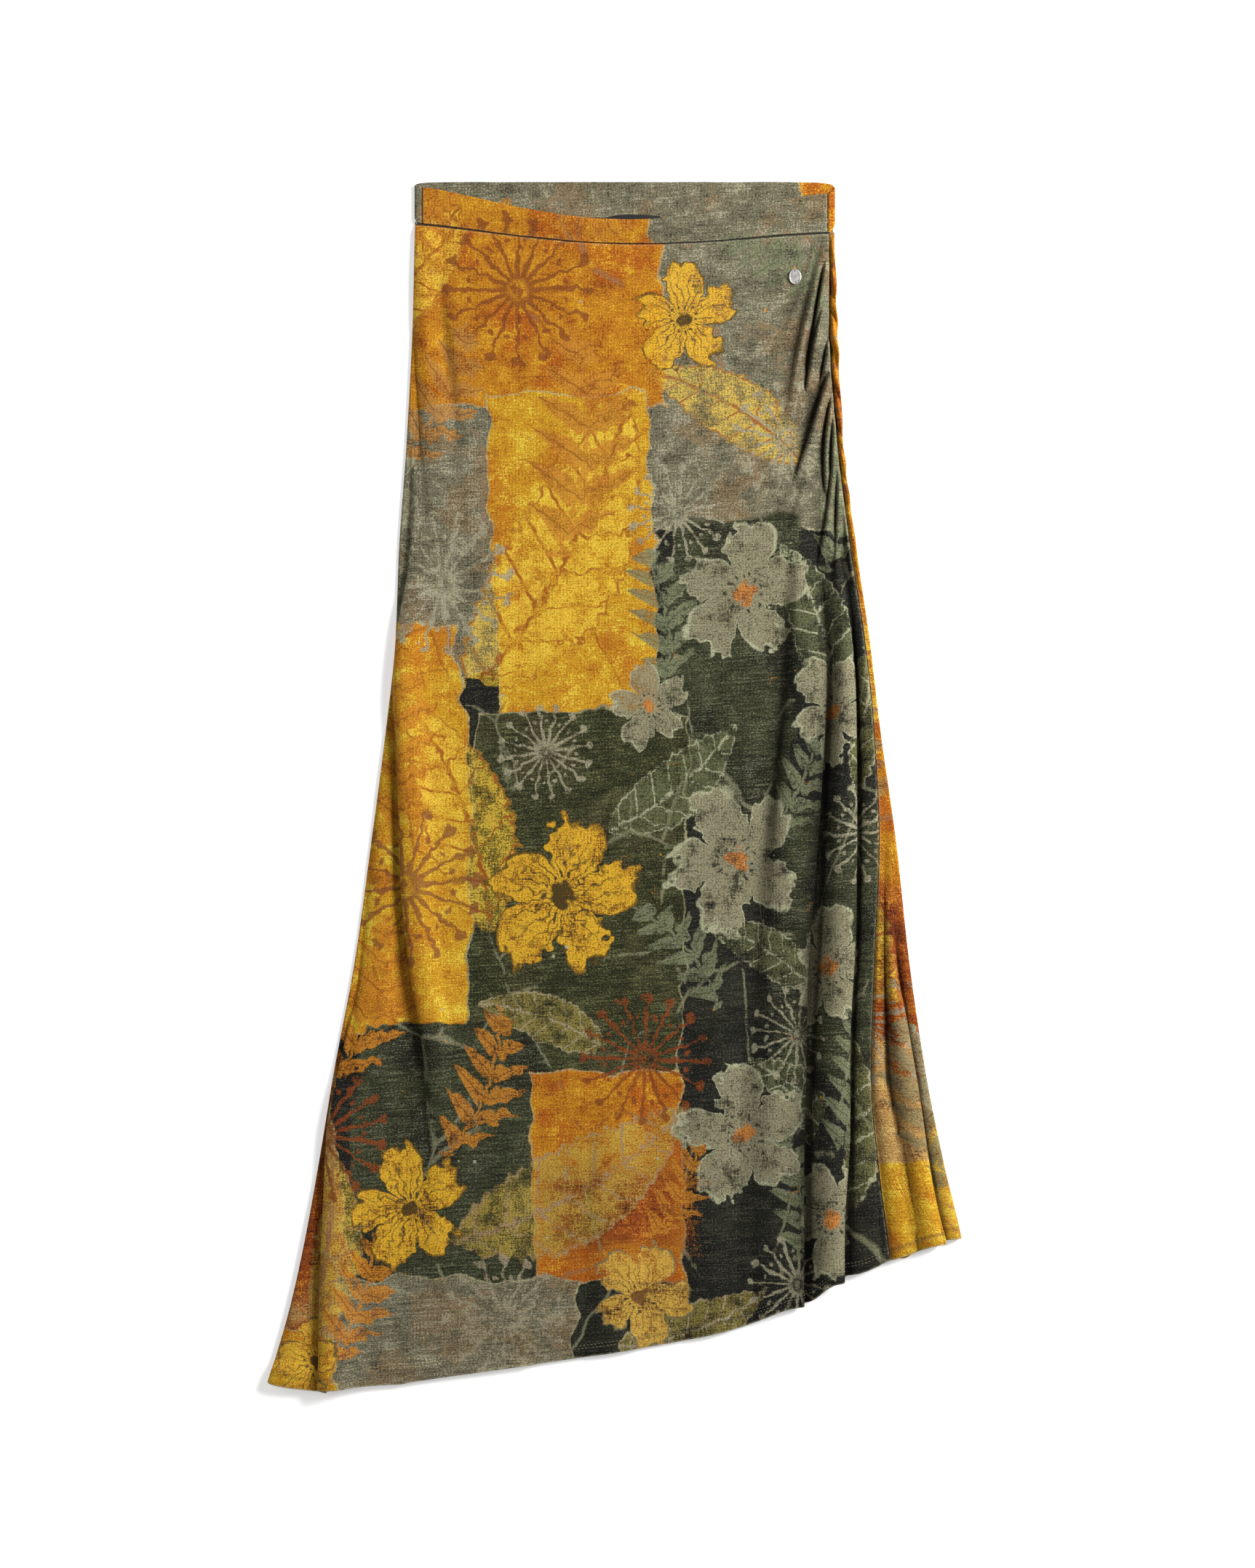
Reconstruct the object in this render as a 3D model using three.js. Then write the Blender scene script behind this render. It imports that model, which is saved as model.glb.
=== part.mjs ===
// A flared maxi skirt with a slanted hem, laid flat with its front up.
// Millimetres. X runs across to the right, Y up towards the waist, Z up from the surface it lies on.
// The origin is the middle of the skirt's outline, on the surface.
import * as THREE from 'three';

// Driving sizes
const clothThickness = 1.2;      // one layer of the jersey, as a wall
const bandThickness = 2.0;       // the doubled waistband
const seamGap = 0.3;             // space between neighbouring pieces
const bandSeamGap = 0.5;         // the same below the band, whose edge is curved
const backBandSeamY = 492;       // where the back panel meets its band
const bandSeamLeftY = 487;       // the front band's seam at the left edge
const bandSeamRightY = 479;      // and at the right edge
const bandSeamSag = 13;          // how far that seam hangs in the middle
const bandTopLeftY = 519;        // top edge of the front band at its left end
const bandTopRightY = 513;       // and at its right end
const bandTopSag = 25.5;         // dip of the front top edge in the middle
const bandLift = 3.1;            // rise of the front band in the middle of the dip
const backBandTopY = 523.6;      // straight top edge of the back band
const bandWrap = 5;              // how far the back band's ends come round to the front
const sagCentreX = 5;            // middle of the dip
const sagHalfWidth = 178;        // half the width over which the edges dip
const backHemShort = 3;          // the under layer is this much shorter than the front
const backHemTail = 4.5;         // but reaches this far below it at one place on the right
const backFloorShares = [0, 0.18, 0.36, 0.54, 0.72, 0.87, 0.9];
const backTailShares = [0.909, 0.926];
const labelSize = { width: 51, length: 13, thickness: 1.0 };
const labelPlace = { x: 14.5, top: 495 };
const plateSize = { width: 10.5, height: 14, thickness: 1.0, hole: 1.3, holeInset: 2.0 };
const platePlace = { x: 156, y: 441 };

// Heights of the middle of each layer above the surface
const floorMid = clothThickness / 2;
const frontMid = floorMid + clothThickness + seamGap;
const bandFloorMid = bandThickness / 2;
const bandTopMid = bandFloorMid + bandThickness + seamGap;

// Outline of the laid skirt from waist to hem: the two side edges, the side seam that shows on the right,
// the height of that seam's middle layer and the height of the rounded right edge.
const outline = [
  { y: 487, left: -173, right: 190.5, seam: 186.0, seamZ: 2.7, edgeZ: 2.9 },
  { y: 404, left: -175, right: 193, seam: 185.5, seamZ: 3.4, edgeZ: 3.2 },
  { y: 303, left: -180, right: 198, seam: 192.0, seamZ: 3.2, edgeZ: 3.0 },
  { y: 203, left: -187, right: 210, seam: 204.5, seamZ: 2.9, edgeZ: 2.8 },
  { y: 127, left: -190, right: 221, seam: 216.0, seamZ: 2.8, edgeZ: 2.8 },
  { y: 51, left: -198, right: 230, seam: 224.0, seamZ: 2.9, edgeZ: 3.0 },
  { y: -49, left: -211, right: 244, seam: 228.5, seamZ: 3.2, edgeZ: 3.4 },
  { y: -150, left: -225, right: 255, seam: 224.5, seamZ: 3.8, edgeZ: 4.0 },
  { y: -251, left: -244, right: 270, seam: 221.5, seamZ: 4.6, edgeZ: 4.6 },
  { y: -330, left: -257, right: 286, seam: 228.0, seamZ: 5.6, edgeZ: 5.2 },
  { y: -391, left: -268, right: 300.5, seam: 236.0, seamZ: 6.2, edgeZ: 5.6 },
  { y: -450, left: -281, right: 311, seam: 243.0, seamZ: 6.4, edgeZ: 5.6 },
  { y: -525, left: -303, right: 324, seam: 252.0, seamZ: 6.4, edgeZ: 5.6 },
];

// Hem of the top layer, from left to right
const hem = [
  { x: -301, y: -517 }, { x: -284, y: -524 }, { x: -258, y: -523 }, { x: -224, y: -519 },
  { x: -173, y: -514 }, { x: -85, y: -502 }, { x: 16, y: -487 }, { x: 90, y: -473 },
  { x: 142, y: -458 }, { x: 163, y: -451 }, { x: 198, y: -430 }, { x: 238, y: -411 },
  { x: 265, y: -402 }, { x: 301, y: -391 },
];

// Deep folds. Each row gives the fold's edge on the way down, how far it has closed (grip, 0 flat to 1
// folded), the width hidden under it and how high it stands. Side 1 has its left part on top, -1 its right.
const folds = {
  lowerLeft: {
    side: -1, lead: 14, spacing: 0.5, hemEdge: -521, hemUnder: -524,
    line: [
      { y: 487, x: -168.6, grip: 0, hidden: 0, height: 0 },
      { y: 404, x: -170.6, grip: 0, hidden: 0, height: 0 },
      { y: 303, x: -175.6, grip: 0, hidden: 0, height: 0 },
      { y: 203, x: -182.6, grip: 0, hidden: 0, height: 0 },
      { y: 127, x: -185.2, grip: 0, hidden: 0, height: 0 },
      { y: 51, x: -191, grip: 0, hidden: 0, height: 0 },
      { y: -49, x: -201, grip: 0, hidden: 0, height: 0 },
      { y: -150, x: -216, grip: 0, hidden: 0, height: 0 },
      { y: -243, x: -238, grip: 0.45, hidden: 3, height: 5.4 },
      { y: -295, x: -248, grip: 1, hidden: 6, height: 6.2 },
      { y: -356, x: -251, grip: 1, hidden: 7, height: 6.4 },
      { y: -440, x: -255, grip: 1, hidden: 8, height: 7.2 },
      { y: -522, x: -256, grip: 1, hidden: 8, height: 7.6 },
    ],
  },
  upperLeft: {
    side: -1, lead: 16, spacing: 2.2, hemEdge: -515, hemUnder: -517,
    line: [
      { y: 487, x: -148, grip: 0, hidden: 0, height: 0 },
      { y: 380, x: -158, grip: 0, hidden: 0, height: 1 },
      { y: 295, x: -168.5, grip: 0.1, hidden: 0, height: 3 },
      { y: 230, x: -174.5, grip: 0.35, hidden: 3, height: 4.6 },
      { y: 180, x: -180, grip: 0.7, hidden: 8, height: 6 },
      { y: 127, x: -188.8, grip: 1, hidden: 15, height: 6.2 },
      { y: 83, x: -191.5, grip: 1, hidden: 14, height: 6.2 },
      { y: 34, x: -188, grip: 1, hidden: 12, height: 6.2 },
      { y: -78, x: -185, grip: 1, hidden: 9, height: 6.4 },
      { y: -157, x: -177, grip: 1, hidden: 8, height: 6.4 },
      { y: -211, x: -168, grip: 0.75, hidden: 4, height: 6.8 },
      { y: -276, x: -161, grip: 0.15, hidden: 0, height: 3 },
      { y: -340, x: -164, grip: 0, hidden: 0, height: 0 },
      { y: -515, x: -180, grip: 0, hidden: 0, height: 0 },
    ],
  },
  innerRight: {
    side: 1, lead: 16, spacing: 2.2, hemEdge: -451, hemUnder: -447.5,
    line: [
      { y: 487, x: 146, grip: 0, hidden: 0, height: 0 },
      { y: 300, x: 158, grip: 0, hidden: 0, height: 0 },
      { y: 180, x: 176, grip: 0.1, hidden: 0, height: 2 },
      { y: 95, x: 183, grip: 0.5, hidden: 3, height: 5.6 },
      { y: -6, x: 178, grip: 1, hidden: 6, height: 6.2 },
      { y: -90, x: 172, grip: 1, hidden: 7, height: 6.4 },
      { y: -176, x: 166, grip: 1, hidden: 7, height: 6.6 },
      { y: -243, x: 165, grip: 1, hidden: 6, height: 6.6 },
      { y: -338, x: 163, grip: 1, hidden: 5, height: 6.2 },
      { y: -451, x: 163, grip: 1, hidden: 5, height: 6.0 },
    ],
  },
  outerRight: {
    side: 1, lead: 13, spacing: 2.0, hemEdge: -430, hemUnder: -424,
    line: [
      { y: 487, x: 170, grip: 0, hidden: 0, height: 0 },
      { y: 300, x: 178, grip: 0, hidden: 0, height: 0 },
      { y: 210, x: 191, grip: 0.05, hidden: 0, height: 2 },
      { y: 146, x: 203, grip: 0.35, hidden: 2, height: 4.8 },
      { y: 80, x: 208, grip: 0.8, hidden: 4, height: 6 },
      { y: -6, x: 209, grip: 1, hidden: 6, height: 6.2 },
      { y: -117, x: 208, grip: 1, hidden: 8, height: 6.6 },
      { y: -226, x: 203, grip: 1, hidden: 10, height: 7.4 },
      { y: -294, x: 203, grip: 1, hidden: 12, height: 8.0 },
      { y: -390, x: 198, grip: 1, hidden: 14, height: 8.4 },
      { y: -430, x: 198, grip: 1, hidden: 14, height: 8.4 },
    ],
  },
  backFlute: {
    side: 1, lead: 11, spacing: 0.9, hemEdge: -396, hemUnder: -393,
    line: [
      { y: 487, x: 188.4, grip: 0, hidden: 0, height: 0 },
      { y: 20, x: 232, grip: 0, hidden: 0, height: 0 },
      { y: -73, x: 239, grip: 0.2, hidden: 1, height: 3 },
      { y: -142, x: 243, grip: 0.6, hidden: 2, height: 7 },
      { y: -209, x: 253, grip: 1, hidden: 6, height: 7.4 },
      { y: -269, x: 263, grip: 1, hidden: 7, height: 7.4 },
      { y: -338, x: 273, grip: 1, hidden: 7, height: 7.4 },
      { y: -396, x: 286, grip: 1, hidden: 7, height: 7.8 },
    ],
  },
};

// Gathers that run down and left out of the ruched side seam, and the soft creases beside them: a ridge from
// its top end to its bottom end, bowed sideways in the middle.
const ridges = [
  { topX: 181, topY: 472, endX: 149, endY: 330, bow: 4, height: 2.2, width: 4.6 },
  { topX: 184, topY: 446, endX: 164, endY: 330, bow: 3, height: 2.0, width: 4.0 },
  { topX: 183, topY: 414, endX: 166, endY: 300, bow: 2, height: 2.2, width: 3.8 },
  { topX: 182, topY: 388, endX: 148, endY: 236, bow: 5, height: 2.4, width: 5.0 },
  { topX: 186, topY: 362, endX: 176, endY: 210, bow: -2, height: 2.6, width: 4.2 },
  { topX: 190, topY: 335, endX: 190, endY: 170, bow: -3, height: 2.2, width: 4.0 },
  { topX: -150, topY: 486, endX: -118, endY: 300, bow: -3, height: 1.3, width: 12 },
  { topX: -166, topY: 470, endX: -150, endY: 330, bow: 1, height: 1.2, width: 8 },
];

// Value of a column at a place along rows that are sorted by their key, on a smooth curve through them.
// Slopes are limited so that the curve never runs past a row's value.
function along(rows, key, column, place) {
  const up = rows[rows.length - 1][key] > rows[0][key];
  const ordered = up ? rows : rows.slice().reverse();
  const last = ordered.length - 1;
  if (place <= ordered[0][key]) return ordered[0][column];
  if (place >= ordered[last][key]) return ordered[last][column];
  let i = 0;
  while (ordered[i + 1][key] < place) i += 1;
  const rise = (k) => (ordered[k + 1][column] - ordered[k][column]) / (ordered[k + 1][key] - ordered[k][key]);
  const slope = (k) => {
    if (k === 0) return rise(0);
    if (k === last) return rise(last - 1);
    const before = rise(k - 1);
    const after = rise(k);
    return before * after <= 0 ? 0 : (2 * before * after) / (before + after);
  };
  const step = ordered[i + 1][key] - ordered[i][key];
  const t = (place - ordered[i][key]) / step;
  const t2 = t * t;
  const t3 = t2 * t;
  return (2 * t3 - 3 * t2 + 1) * ordered[i][column] + (t3 - 2 * t2 + t) * step * slope(i)
    + (3 * t2 - 2 * t3) * ordered[i + 1][column] + (t3 - t2) * step * slope(i + 1);
}

const mix = THREE.MathUtils.lerp;
const edgeAt = (column, y) => along(outline, 'y', column, y);
const hemAt = (x) => along(hem, 'x', 'y', x);

// Share of the full dip at x, 1 in the middle and 0 at both ends
function sagShare(x) {
  const offset = (x - sagCentreX) / sagHalfWidth;
  return Math.max(0, 1 - offset * offset) ** 1.6;
}

function betweenSides(x, leftValue, rightValue) {
  return mix(leftValue, rightValue, (x - outline[0].left) / (outline[0].seam - outline[0].left));
}

const bandSeamY = (x) => betweenSides(x, bandSeamLeftY, bandSeamRightY) - bandSeamSag * sagShare(x);
const bandTopY = (x) => betweenSides(x, bandTopLeftY, bandTopRightY) - bandTopSag * sagShare(x);

function ridgeHeight(x, y) {
  let height = 0;
  for (const ridge of ridges) {
    const t = (ridge.topY - y) / (ridge.topY - ridge.endY);
    if (t <= 0 || t >= 1) continue;
    const centre = mix(ridge.topX, ridge.endX, t) + ridge.bow * Math.sin(Math.PI * t);
    const offset = (x - centre) / ridge.width;
    height += ridge.height * Math.sin(Math.PI * t) ** 0.6 * Math.exp(-offset * offset);
  }
  return height;
}

// Stations of a deep fold from left to right: crest, edge above, edge below, tuck above, tuck below for a
// fold with its left part on top, and the other way round for one with its right part on top.
const noseReach = 0.6;
const foldStations = [
  { flat: -2, lift: 1, folded: 'lead', share: 0 },
  { flat: -1, lift: 1, folded: 'nose', share: 0.15 },
  { flat: 0, lift: 0.46, folded: 'nose', share: 0.3, fine: true },
  { flat: 1, lift: 0.46, folded: 'tuck', share: 0.8 },
  { flat: 2, lift: 0, folded: 'tuck', share: 1, fine: true },
];

function foldStation(fold, station, y, base) {
  const line = (column) => along(fold.line, 'y', column, y);
  const grip = line('grip');
  const reach = { lead: -fold.lead, nose: noseReach, tuck: -line('hidden') }[station.folded];
  const offset = mix(station.flat * fold.spacing, reach, grip);
  return { x: line('x') + fold.side * offset, z: base + station.lift * line('height') };
}

// The stations of a section across a fold: each has the hem's y below it and its place at a given y.
function foldToStations(fold, base) {
  const stations = foldStations.map((station) => ({
    hemY: mix(fold.hemEdge, fold.hemUnder, station.share),
    fine: station.fine,
    place: (y) => foldStation(fold, station, y, base),
  }));
  if (fold.side > 0) return stations;
  stations.reverse();
  stations.forEach((station, i) => { station.fine = i === 1 || i === 3; });
  return stations;
}

// Evenly spread stations between two others, raised a little so that the cloth isn't dead flat
function spreadStations(count, before, after, belly = 0) {
  return Array.from({ length: count }, (_, i) => {
    const share = (i + 1) / (count + 1);
    return {
      hemY: null,
      place: (y) => {
        const from = before.place(y);
        const to = after.place(y);
        const middle = 4 * share * (1 - share);
        return { x: mix(from.x, to.x, share), z: frontMid + belly * middle };
      },
    };
  });
}

// Smooth curve (uniform cubic B-spline, ends held) through the control points of one row
function smoothRow(points, fineSpans) {
  const first = points[0].clone().multiplyScalar(2).sub(points[1]);
  const end = points[points.length - 1].clone().multiplyScalar(2).sub(points[points.length - 2]);
  const control = [first, ...points, end];
  const curve = [];
  const spline = (i, t) => {
    const weights = [(1 - t) ** 3, 3 * t ** 3 - 6 * t * t + 4, -3 * t ** 3 + 3 * t * t + 3 * t + 1, t ** 3];
    const point = new THREE.Vector3();
    weights.forEach((weight, k) => point.addScaledVector(control[i + k], weight / 6));
    return point;
  };
  for (let i = 0; i < points.length - 1; i += 1) {
    const steps = fineSpans[i] ? 2 : 1;
    for (let k = 0; k < steps; k += 1) curve.push(spline(i, k / steps));
  }
  curve.push(points[points.length - 1].clone());
  return curve;
}

// Grid of middle points for a panel: rows from its top edge to its hem, each row smoothed across
function panelGrid(stations, rowShares, topOf, raise) {
  const fineSpans = stations.slice(1).map((station) => Boolean(station.fine));
  const tops = stations.map((station) => topOf(station, station.place(outline[0].y)));
  const hems = stations.map((station, i) => {
    let y = station.hemY ?? hemAt(station.place(hemAt(station.place(tops[i]).x)).x);
    if (station.hemOffset) y += station.hemOffset;
    return y;
  });
  return rowShares.map((share) => {
    const points = stations.map((station, i) => {
      const y = mix(tops[i], hems[i], share);
      const place = station.place(y);
      return new THREE.Vector3(place.x, y, place.z);
    });
    const row = smoothRow(points, fineSpans);
    row.forEach((point) => { point.z += raise(point); });
    return row;
  });
}

// Closed wall of the given thickness about a grid of middle points
function wallFromGrid(grid, thickness) {
  const rows = grid.length;
  const columns = grid[0].length;
  const half = thickness / 2;
  const upper = [];
  const lower = [];
  for (let r = 0; r < rows; r += 1) {
    for (let c = 0; c < columns; c += 1) {
      const across = grid[r][Math.min(c + 1, columns - 1)].clone().sub(grid[r][Math.max(c - 1, 0)]);
      const down = grid[Math.min(r + 1, rows - 1)][c].clone().sub(grid[Math.max(r - 1, 0)][c]);
      const normal = down.cross(across).normalize();
      upper.push(grid[r][c].clone().addScaledVector(normal, half));
      lower.push(grid[r][c].clone().addScaledVector(normal, -half));
    }
  }
  const count = rows * columns;
  const at = (r, c) => r * columns + c;
  const faces = [];
  const quad = (a, b, c, d) => faces.push(a, b, c, a, c, d);
  for (let r = 0; r < rows - 1; r += 1) {
    for (let c = 0; c < columns - 1; c += 1) {
      quad(at(r, c), at(r + 1, c), at(r + 1, c + 1), at(r, c + 1));
      quad(count + at(r, c), count + at(r, c + 1), count + at(r + 1, c + 1), count + at(r + 1, c));
    }
    quad(at(r, 0), count + at(r, 0), count + at(r + 1, 0), at(r + 1, 0));
    const end = columns - 1;
    quad(at(r, end), at(r + 1, end), count + at(r + 1, end), count + at(r, end));
  }
  for (let c = 0; c < columns - 1; c += 1) {
    const end = rows - 1;
    quad(at(0, c), at(0, c + 1), count + at(0, c + 1), count + at(0, c));
    quad(at(end, c), count + at(end, c), count + at(end, c + 1), at(end, c + 1));
  }
  const geometry = new THREE.BufferGeometry();
  const positions = [...upper, ...lower].flatMap((point) => point.toArray());
  geometry.setAttribute('position', new THREE.Float32BufferAttribute(positions, 3));
  geometry.setIndex(faces);
  geometry.computeVertexNormals();
  return geometry;
}

// Shares of the length at which rows lie: close together over the gathers, wider below them
function rowPlaces(closeRows, closeShare, wideRows) {
  const close = Array.from({ length: closeRows }, (_, i) => (closeShare * i) / closeRows);
  const wide = Array.from({ length: wideRows + 1 }, (_, i) => mix(closeShare, 1, i / wideRows));
  return [...close, ...wide];
}

const panelRows = rowPlaces(12, 0.25, 26);
const sideSeamStep = 3;          // the side seam's lower end starts this much higher than the front
const edgeFoot = 0.2;            // the front's turned-down left edge ends this far above the surface
const edgeTurn = 2.4;            // width that a folded edge takes to turn over
const seamLead = 4.5;            // the front lies level this far up to the side seam
const stripSeamLead = 1.3;       // and the narrow strip of the back beyond it
const floorEnd = 5;              // the back leaves the surface this far inside its right edge
const bellyRise = 1.4;           // the middle of the front is this much fuller than its edges

function frontPanel() {
  const half = clothThickness / 2;
  const leftEdge = (inset, z) => ({
    hemY: null,
    topOffset: z < frontMid ? sideSeamStep : 0,
    place: (y) => ({ x: edgeAt('left', y) + inset, z }),
  });
  const rightEdge = (inset) => ({
    hemY: null,
    place: (y) => ({ x: edgeAt('seam', y) - inset, z: edgeAt('seamZ', y) }),
  });
  const start = [leftEdge(half, edgeFoot), leftEdge(half, frontMid), leftEdge(edgeTurn, frontMid)];
  const finish = [rightEdge(seamLead), rightEdge(seamGap / 2)];
  const lowerLeft = foldToStations(folds.lowerLeft, frontMid);
  const upperLeft = foldToStations(folds.upperLeft, frontMid);
  const innerRight = foldToStations(folds.innerRight, frontMid);
  const outerRight = foldToStations(folds.outerRight, frontMid);
  const stations = [
    ...start, ...lowerLeft,
    ...spreadStations(1, lowerLeft[4], upperLeft[0]), ...upperLeft,
    ...spreadStations(11, upperLeft[4], innerRight[0], bellyRise), ...innerRight,
    ...spreadStations(1, innerRight[4], outerRight[0]), ...outerRight,
    ...spreadStations(1, outerRight[4], finish[0]), ...finish,
  ];
  const topOf = (station, place) => bandSeamY(place.x) - bandSeamGap + (station.topOffset ?? 0);
  const grid = panelGrid(stations, panelRows, topOf, (point) => ridgeHeight(point.x, point.y));
  return wallFromGrid(grid, clothThickness);
}

function backPanel() {
  const half = clothThickness / 2;
  const floorStation = (share, hemOffset = backHemShort) => ({
    hemY: null,
    hemOffset,
    onFloor: true,
    place: (y) => ({
      x: mix(edgeAt('left', y) + clothThickness + seamGap, edgeAt('right', y) - floorEnd, share),
      z: floorMid,
    }),
  });
  const bend = (inset, height) => ({
    hemY: null,
    place: (y) => ({ x: edgeAt('right', y) - inset, z: mix(floorMid, edgeAt('edgeZ', y), height) }),
  });
  const seamSide = (inset) => ({
    hemY: null,
    place: (y) => ({ x: edgeAt('seam', y) + inset, z: edgeAt('seamZ', y) }),
  });
  const bendEnd = bend(edgeTurn, 1);
  const seamFlat = seamSide(stripSeamLead);
  // Where the strip on top is still narrow its stations lie evenly between the edge and the seam
  const stripStation = (share, station, hemY) => ({
    hemY,
    fine: station.fine,
    place: (y) => {
      const edge = bendEnd.place(y);
      const seam = seamFlat.place(y);
      const even = { x: mix(edge.x, seam.x, share), z: mix(edge.z, seam.z, share) };
      const folded = station.place(y);
      const grip = along(folds.backFlute.line, 'y', 'grip', y);
      return { x: mix(even.x, folded.x, grip), z: mix(even.z, folded.z, grip) };
    },
  });
  const flute = foldStations.map((station, i) => stripStation(1 - (i + 2) / 7, {
    fine: i === 1 || i === 3,
    place: (y) => foldStation(folds.backFlute, station, y, frontMid),
  }, mix(folds.backFlute.hemEdge, folds.backFlute.hemUnder, station.share))).reverse();
  const valley = stripStation(6 / 7, {
    place: (y) => {
      const crest = foldStation(folds.backFlute, foldStations[0], y, frontMid);
      return { x: mix(edgeAt('seam', y), crest.x, 0.5), z: mix(edgeAt('seamZ', y), frontMid, 0.7) };
    },
  }, null);
  const floor = [
    ...backFloorShares.map((share) => floorStation(share)),
    ...backTailShares.map((share) => floorStation(share, -backHemTail)),
    floorStation(0.935), floorStation(1),
  ];
  const stations = [
    ...floor, bend(half, 0), { ...bend(half, 1), fine: true }, bendEnd,
    ...flute, valley, seamFlat, seamSide(seamGap / 2),
  ];
  const topOf = (station, place) => (station.onFloor ? backBandSeamY : bandSeamY(place.x)) - bandSeamGap;
  return wallFromGrid(panelGrid(stations, panelRows, topOf, () => 0), clothThickness);
}

function backBand() {
  const left = outline[0].left + bandThickness / 2;
  const right = outline[0].right - bandThickness / 2;
  const bendInset = 1.6;
  // Stations round the band from its left end on the front, under the skirt, to its right end
  const stations = [
    { x: left + bandWrap, z: bandTopMid, top: bandTopLeftY, seam: bandSeamLeftY },
    { x: left + bendInset, z: bandTopMid, top: 520, seam: bandSeamLeftY },
    { x: left - 0.3, z: mix(bandFloorMid, bandTopMid, 0.7), top: 520.6, seam: 490.2 },
    { x: left - 0.3, z: mix(bandFloorMid, bandTopMid, 0.3), top: 521.2, seam: 491.6 },
    { x: left + bendInset, z: bandFloorMid, top: 522.4, seam: backBandSeamY },
    { x: left + 12, z: bandFloorMid, top: backBandTopY, seam: backBandSeamY },
    ...Array.from({ length: 6 }, (_, i) => ({
      x: mix(left + 12, right - 12, (i + 1) / 7), z: bandFloorMid, top: backBandTopY, seam: backBandSeamY,
    })),
    { x: right - 12, z: bandFloorMid, top: backBandTopY, seam: backBandSeamY },
    { x: right - bendInset, z: bandFloorMid, top: 521.5, seam: backBandSeamY },
    { x: right + 0.3, z: mix(bandFloorMid, bandTopMid, 0.3), top: 519.8, seam: 488.5 },
    { x: right + 0.3, z: mix(bandFloorMid, bandTopMid, 0.7), top: 517.5, seam: 484 },
    { x: right - bendInset, z: bandTopMid, top: 515, seam: bandSeamRightY + 0.5 },
    { x: right - bandWrap, z: bandTopMid, top: bandTopRightY, seam: bandSeamRightY },
  ];
  const rows = 4;
  const grid = Array.from({ length: rows + 1 }, (_, r) => stations.map(
    (station) => new THREE.Vector3(station.x, mix(station.seam, station.top, r / rows), station.z),
  ));
  return wallFromGrid(grid, bandThickness);
}

function frontBand() {
  const left = outline[0].left + bandThickness / 2 + bandWrap + seamGap;
  const right = outline[0].right - bandThickness / 2 - bandWrap - seamGap;
  const columns = 22;
  // Rows up the band: share of its width and share of the lift
  const profile = [
    { up: 0, lift: 0 }, { up: 0.12, lift: 0 }, { up: 0.4, lift: 0.5 },
    { up: 0.7, lift: 0.92 }, { up: 0.9, lift: 1 }, { up: 1, lift: 0.8 },
  ];
  const grid = profile.map((row) => Array.from({ length: columns + 1 }, (_, c) => {
    const x = mix(left, right, c / columns);
    return new THREE.Vector3(x, mix(bandSeamY(x), bandTopY(x), row.up), bandTopMid + bandLift * row.lift * sagShare(x));
  }));
  return wallFromGrid(grid.reverse(), bandThickness);
}

function innerLabel() {
  const geometry = new THREE.BoxGeometry(labelSize.width, labelSize.length, labelSize.thickness);
  return geometry;
}

function trimPlate() {
  const shape = new THREE.Shape();
  shape.absellipse(0, 0, plateSize.width / 2, plateSize.height / 2, 0, Math.PI * 2);
  for (const side of [-1, 1]) {
    const hole = new THREE.Path();
    const y = side * (plateSize.height / 2 - plateSize.holeInset);
    hole.absellipse(0, y, plateSize.hole / 2, plateSize.hole / 2, 0, Math.PI * 2);
    shape.holes.push(hole);
  }
  return new THREE.ExtrudeGeometry(shape, { depth: plateSize.thickness, bevelEnabled: false, curveSegments: 8 });
}

function piece(name, geometry, colour, roughness, metalness = 0) {
  const mesh = new THREE.Mesh(geometry, new THREE.MeshStandardMaterial({ color: colour, roughness, metalness }));
  mesh.name = name;
  return mesh;
}

const skirt = new THREE.Group();
const label = piece('inner_label', innerLabel(), '#17171a', 0.7);
label.position.set(
  labelPlace.x,
  labelPlace.top - labelSize.length / 2,
  bandThickness + seamGap + labelSize.thickness / 2,
);
const plate = piece('trim_plate', trimPlate(), '#c9c8c2', 0.35, 0.9);
plate.position.set(platePlace.x, platePlace.y, frontMid + clothThickness / 2 + seamGap);
skirt.add(
  piece('front_panel', frontPanel(), '#4a4a38', 0.85),
  piece('back_panel', backPanel(), '#b07f2c', 0.85),
  piece('waistband_front', frontBand(), '#7c7a62', 0.85),
  piece('waistband_back', backBand(), '#86836c', 0.85),
  label,
  plate,
);

export default skirt;
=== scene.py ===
import math
import random

import bpy
import numpy as np
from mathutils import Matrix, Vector


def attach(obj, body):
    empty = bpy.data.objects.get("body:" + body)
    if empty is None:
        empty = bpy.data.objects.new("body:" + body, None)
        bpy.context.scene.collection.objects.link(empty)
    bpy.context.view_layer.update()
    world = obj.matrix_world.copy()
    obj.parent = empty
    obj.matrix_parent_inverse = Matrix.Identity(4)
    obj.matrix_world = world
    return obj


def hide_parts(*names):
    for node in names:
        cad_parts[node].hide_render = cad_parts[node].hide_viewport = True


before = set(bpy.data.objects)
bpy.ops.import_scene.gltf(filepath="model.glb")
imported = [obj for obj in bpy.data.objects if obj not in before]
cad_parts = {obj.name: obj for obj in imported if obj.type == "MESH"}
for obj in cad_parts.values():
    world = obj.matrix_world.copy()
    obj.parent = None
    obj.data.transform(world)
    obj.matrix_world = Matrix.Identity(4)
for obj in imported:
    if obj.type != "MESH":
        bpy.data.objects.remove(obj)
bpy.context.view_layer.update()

mm = 0.001

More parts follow.
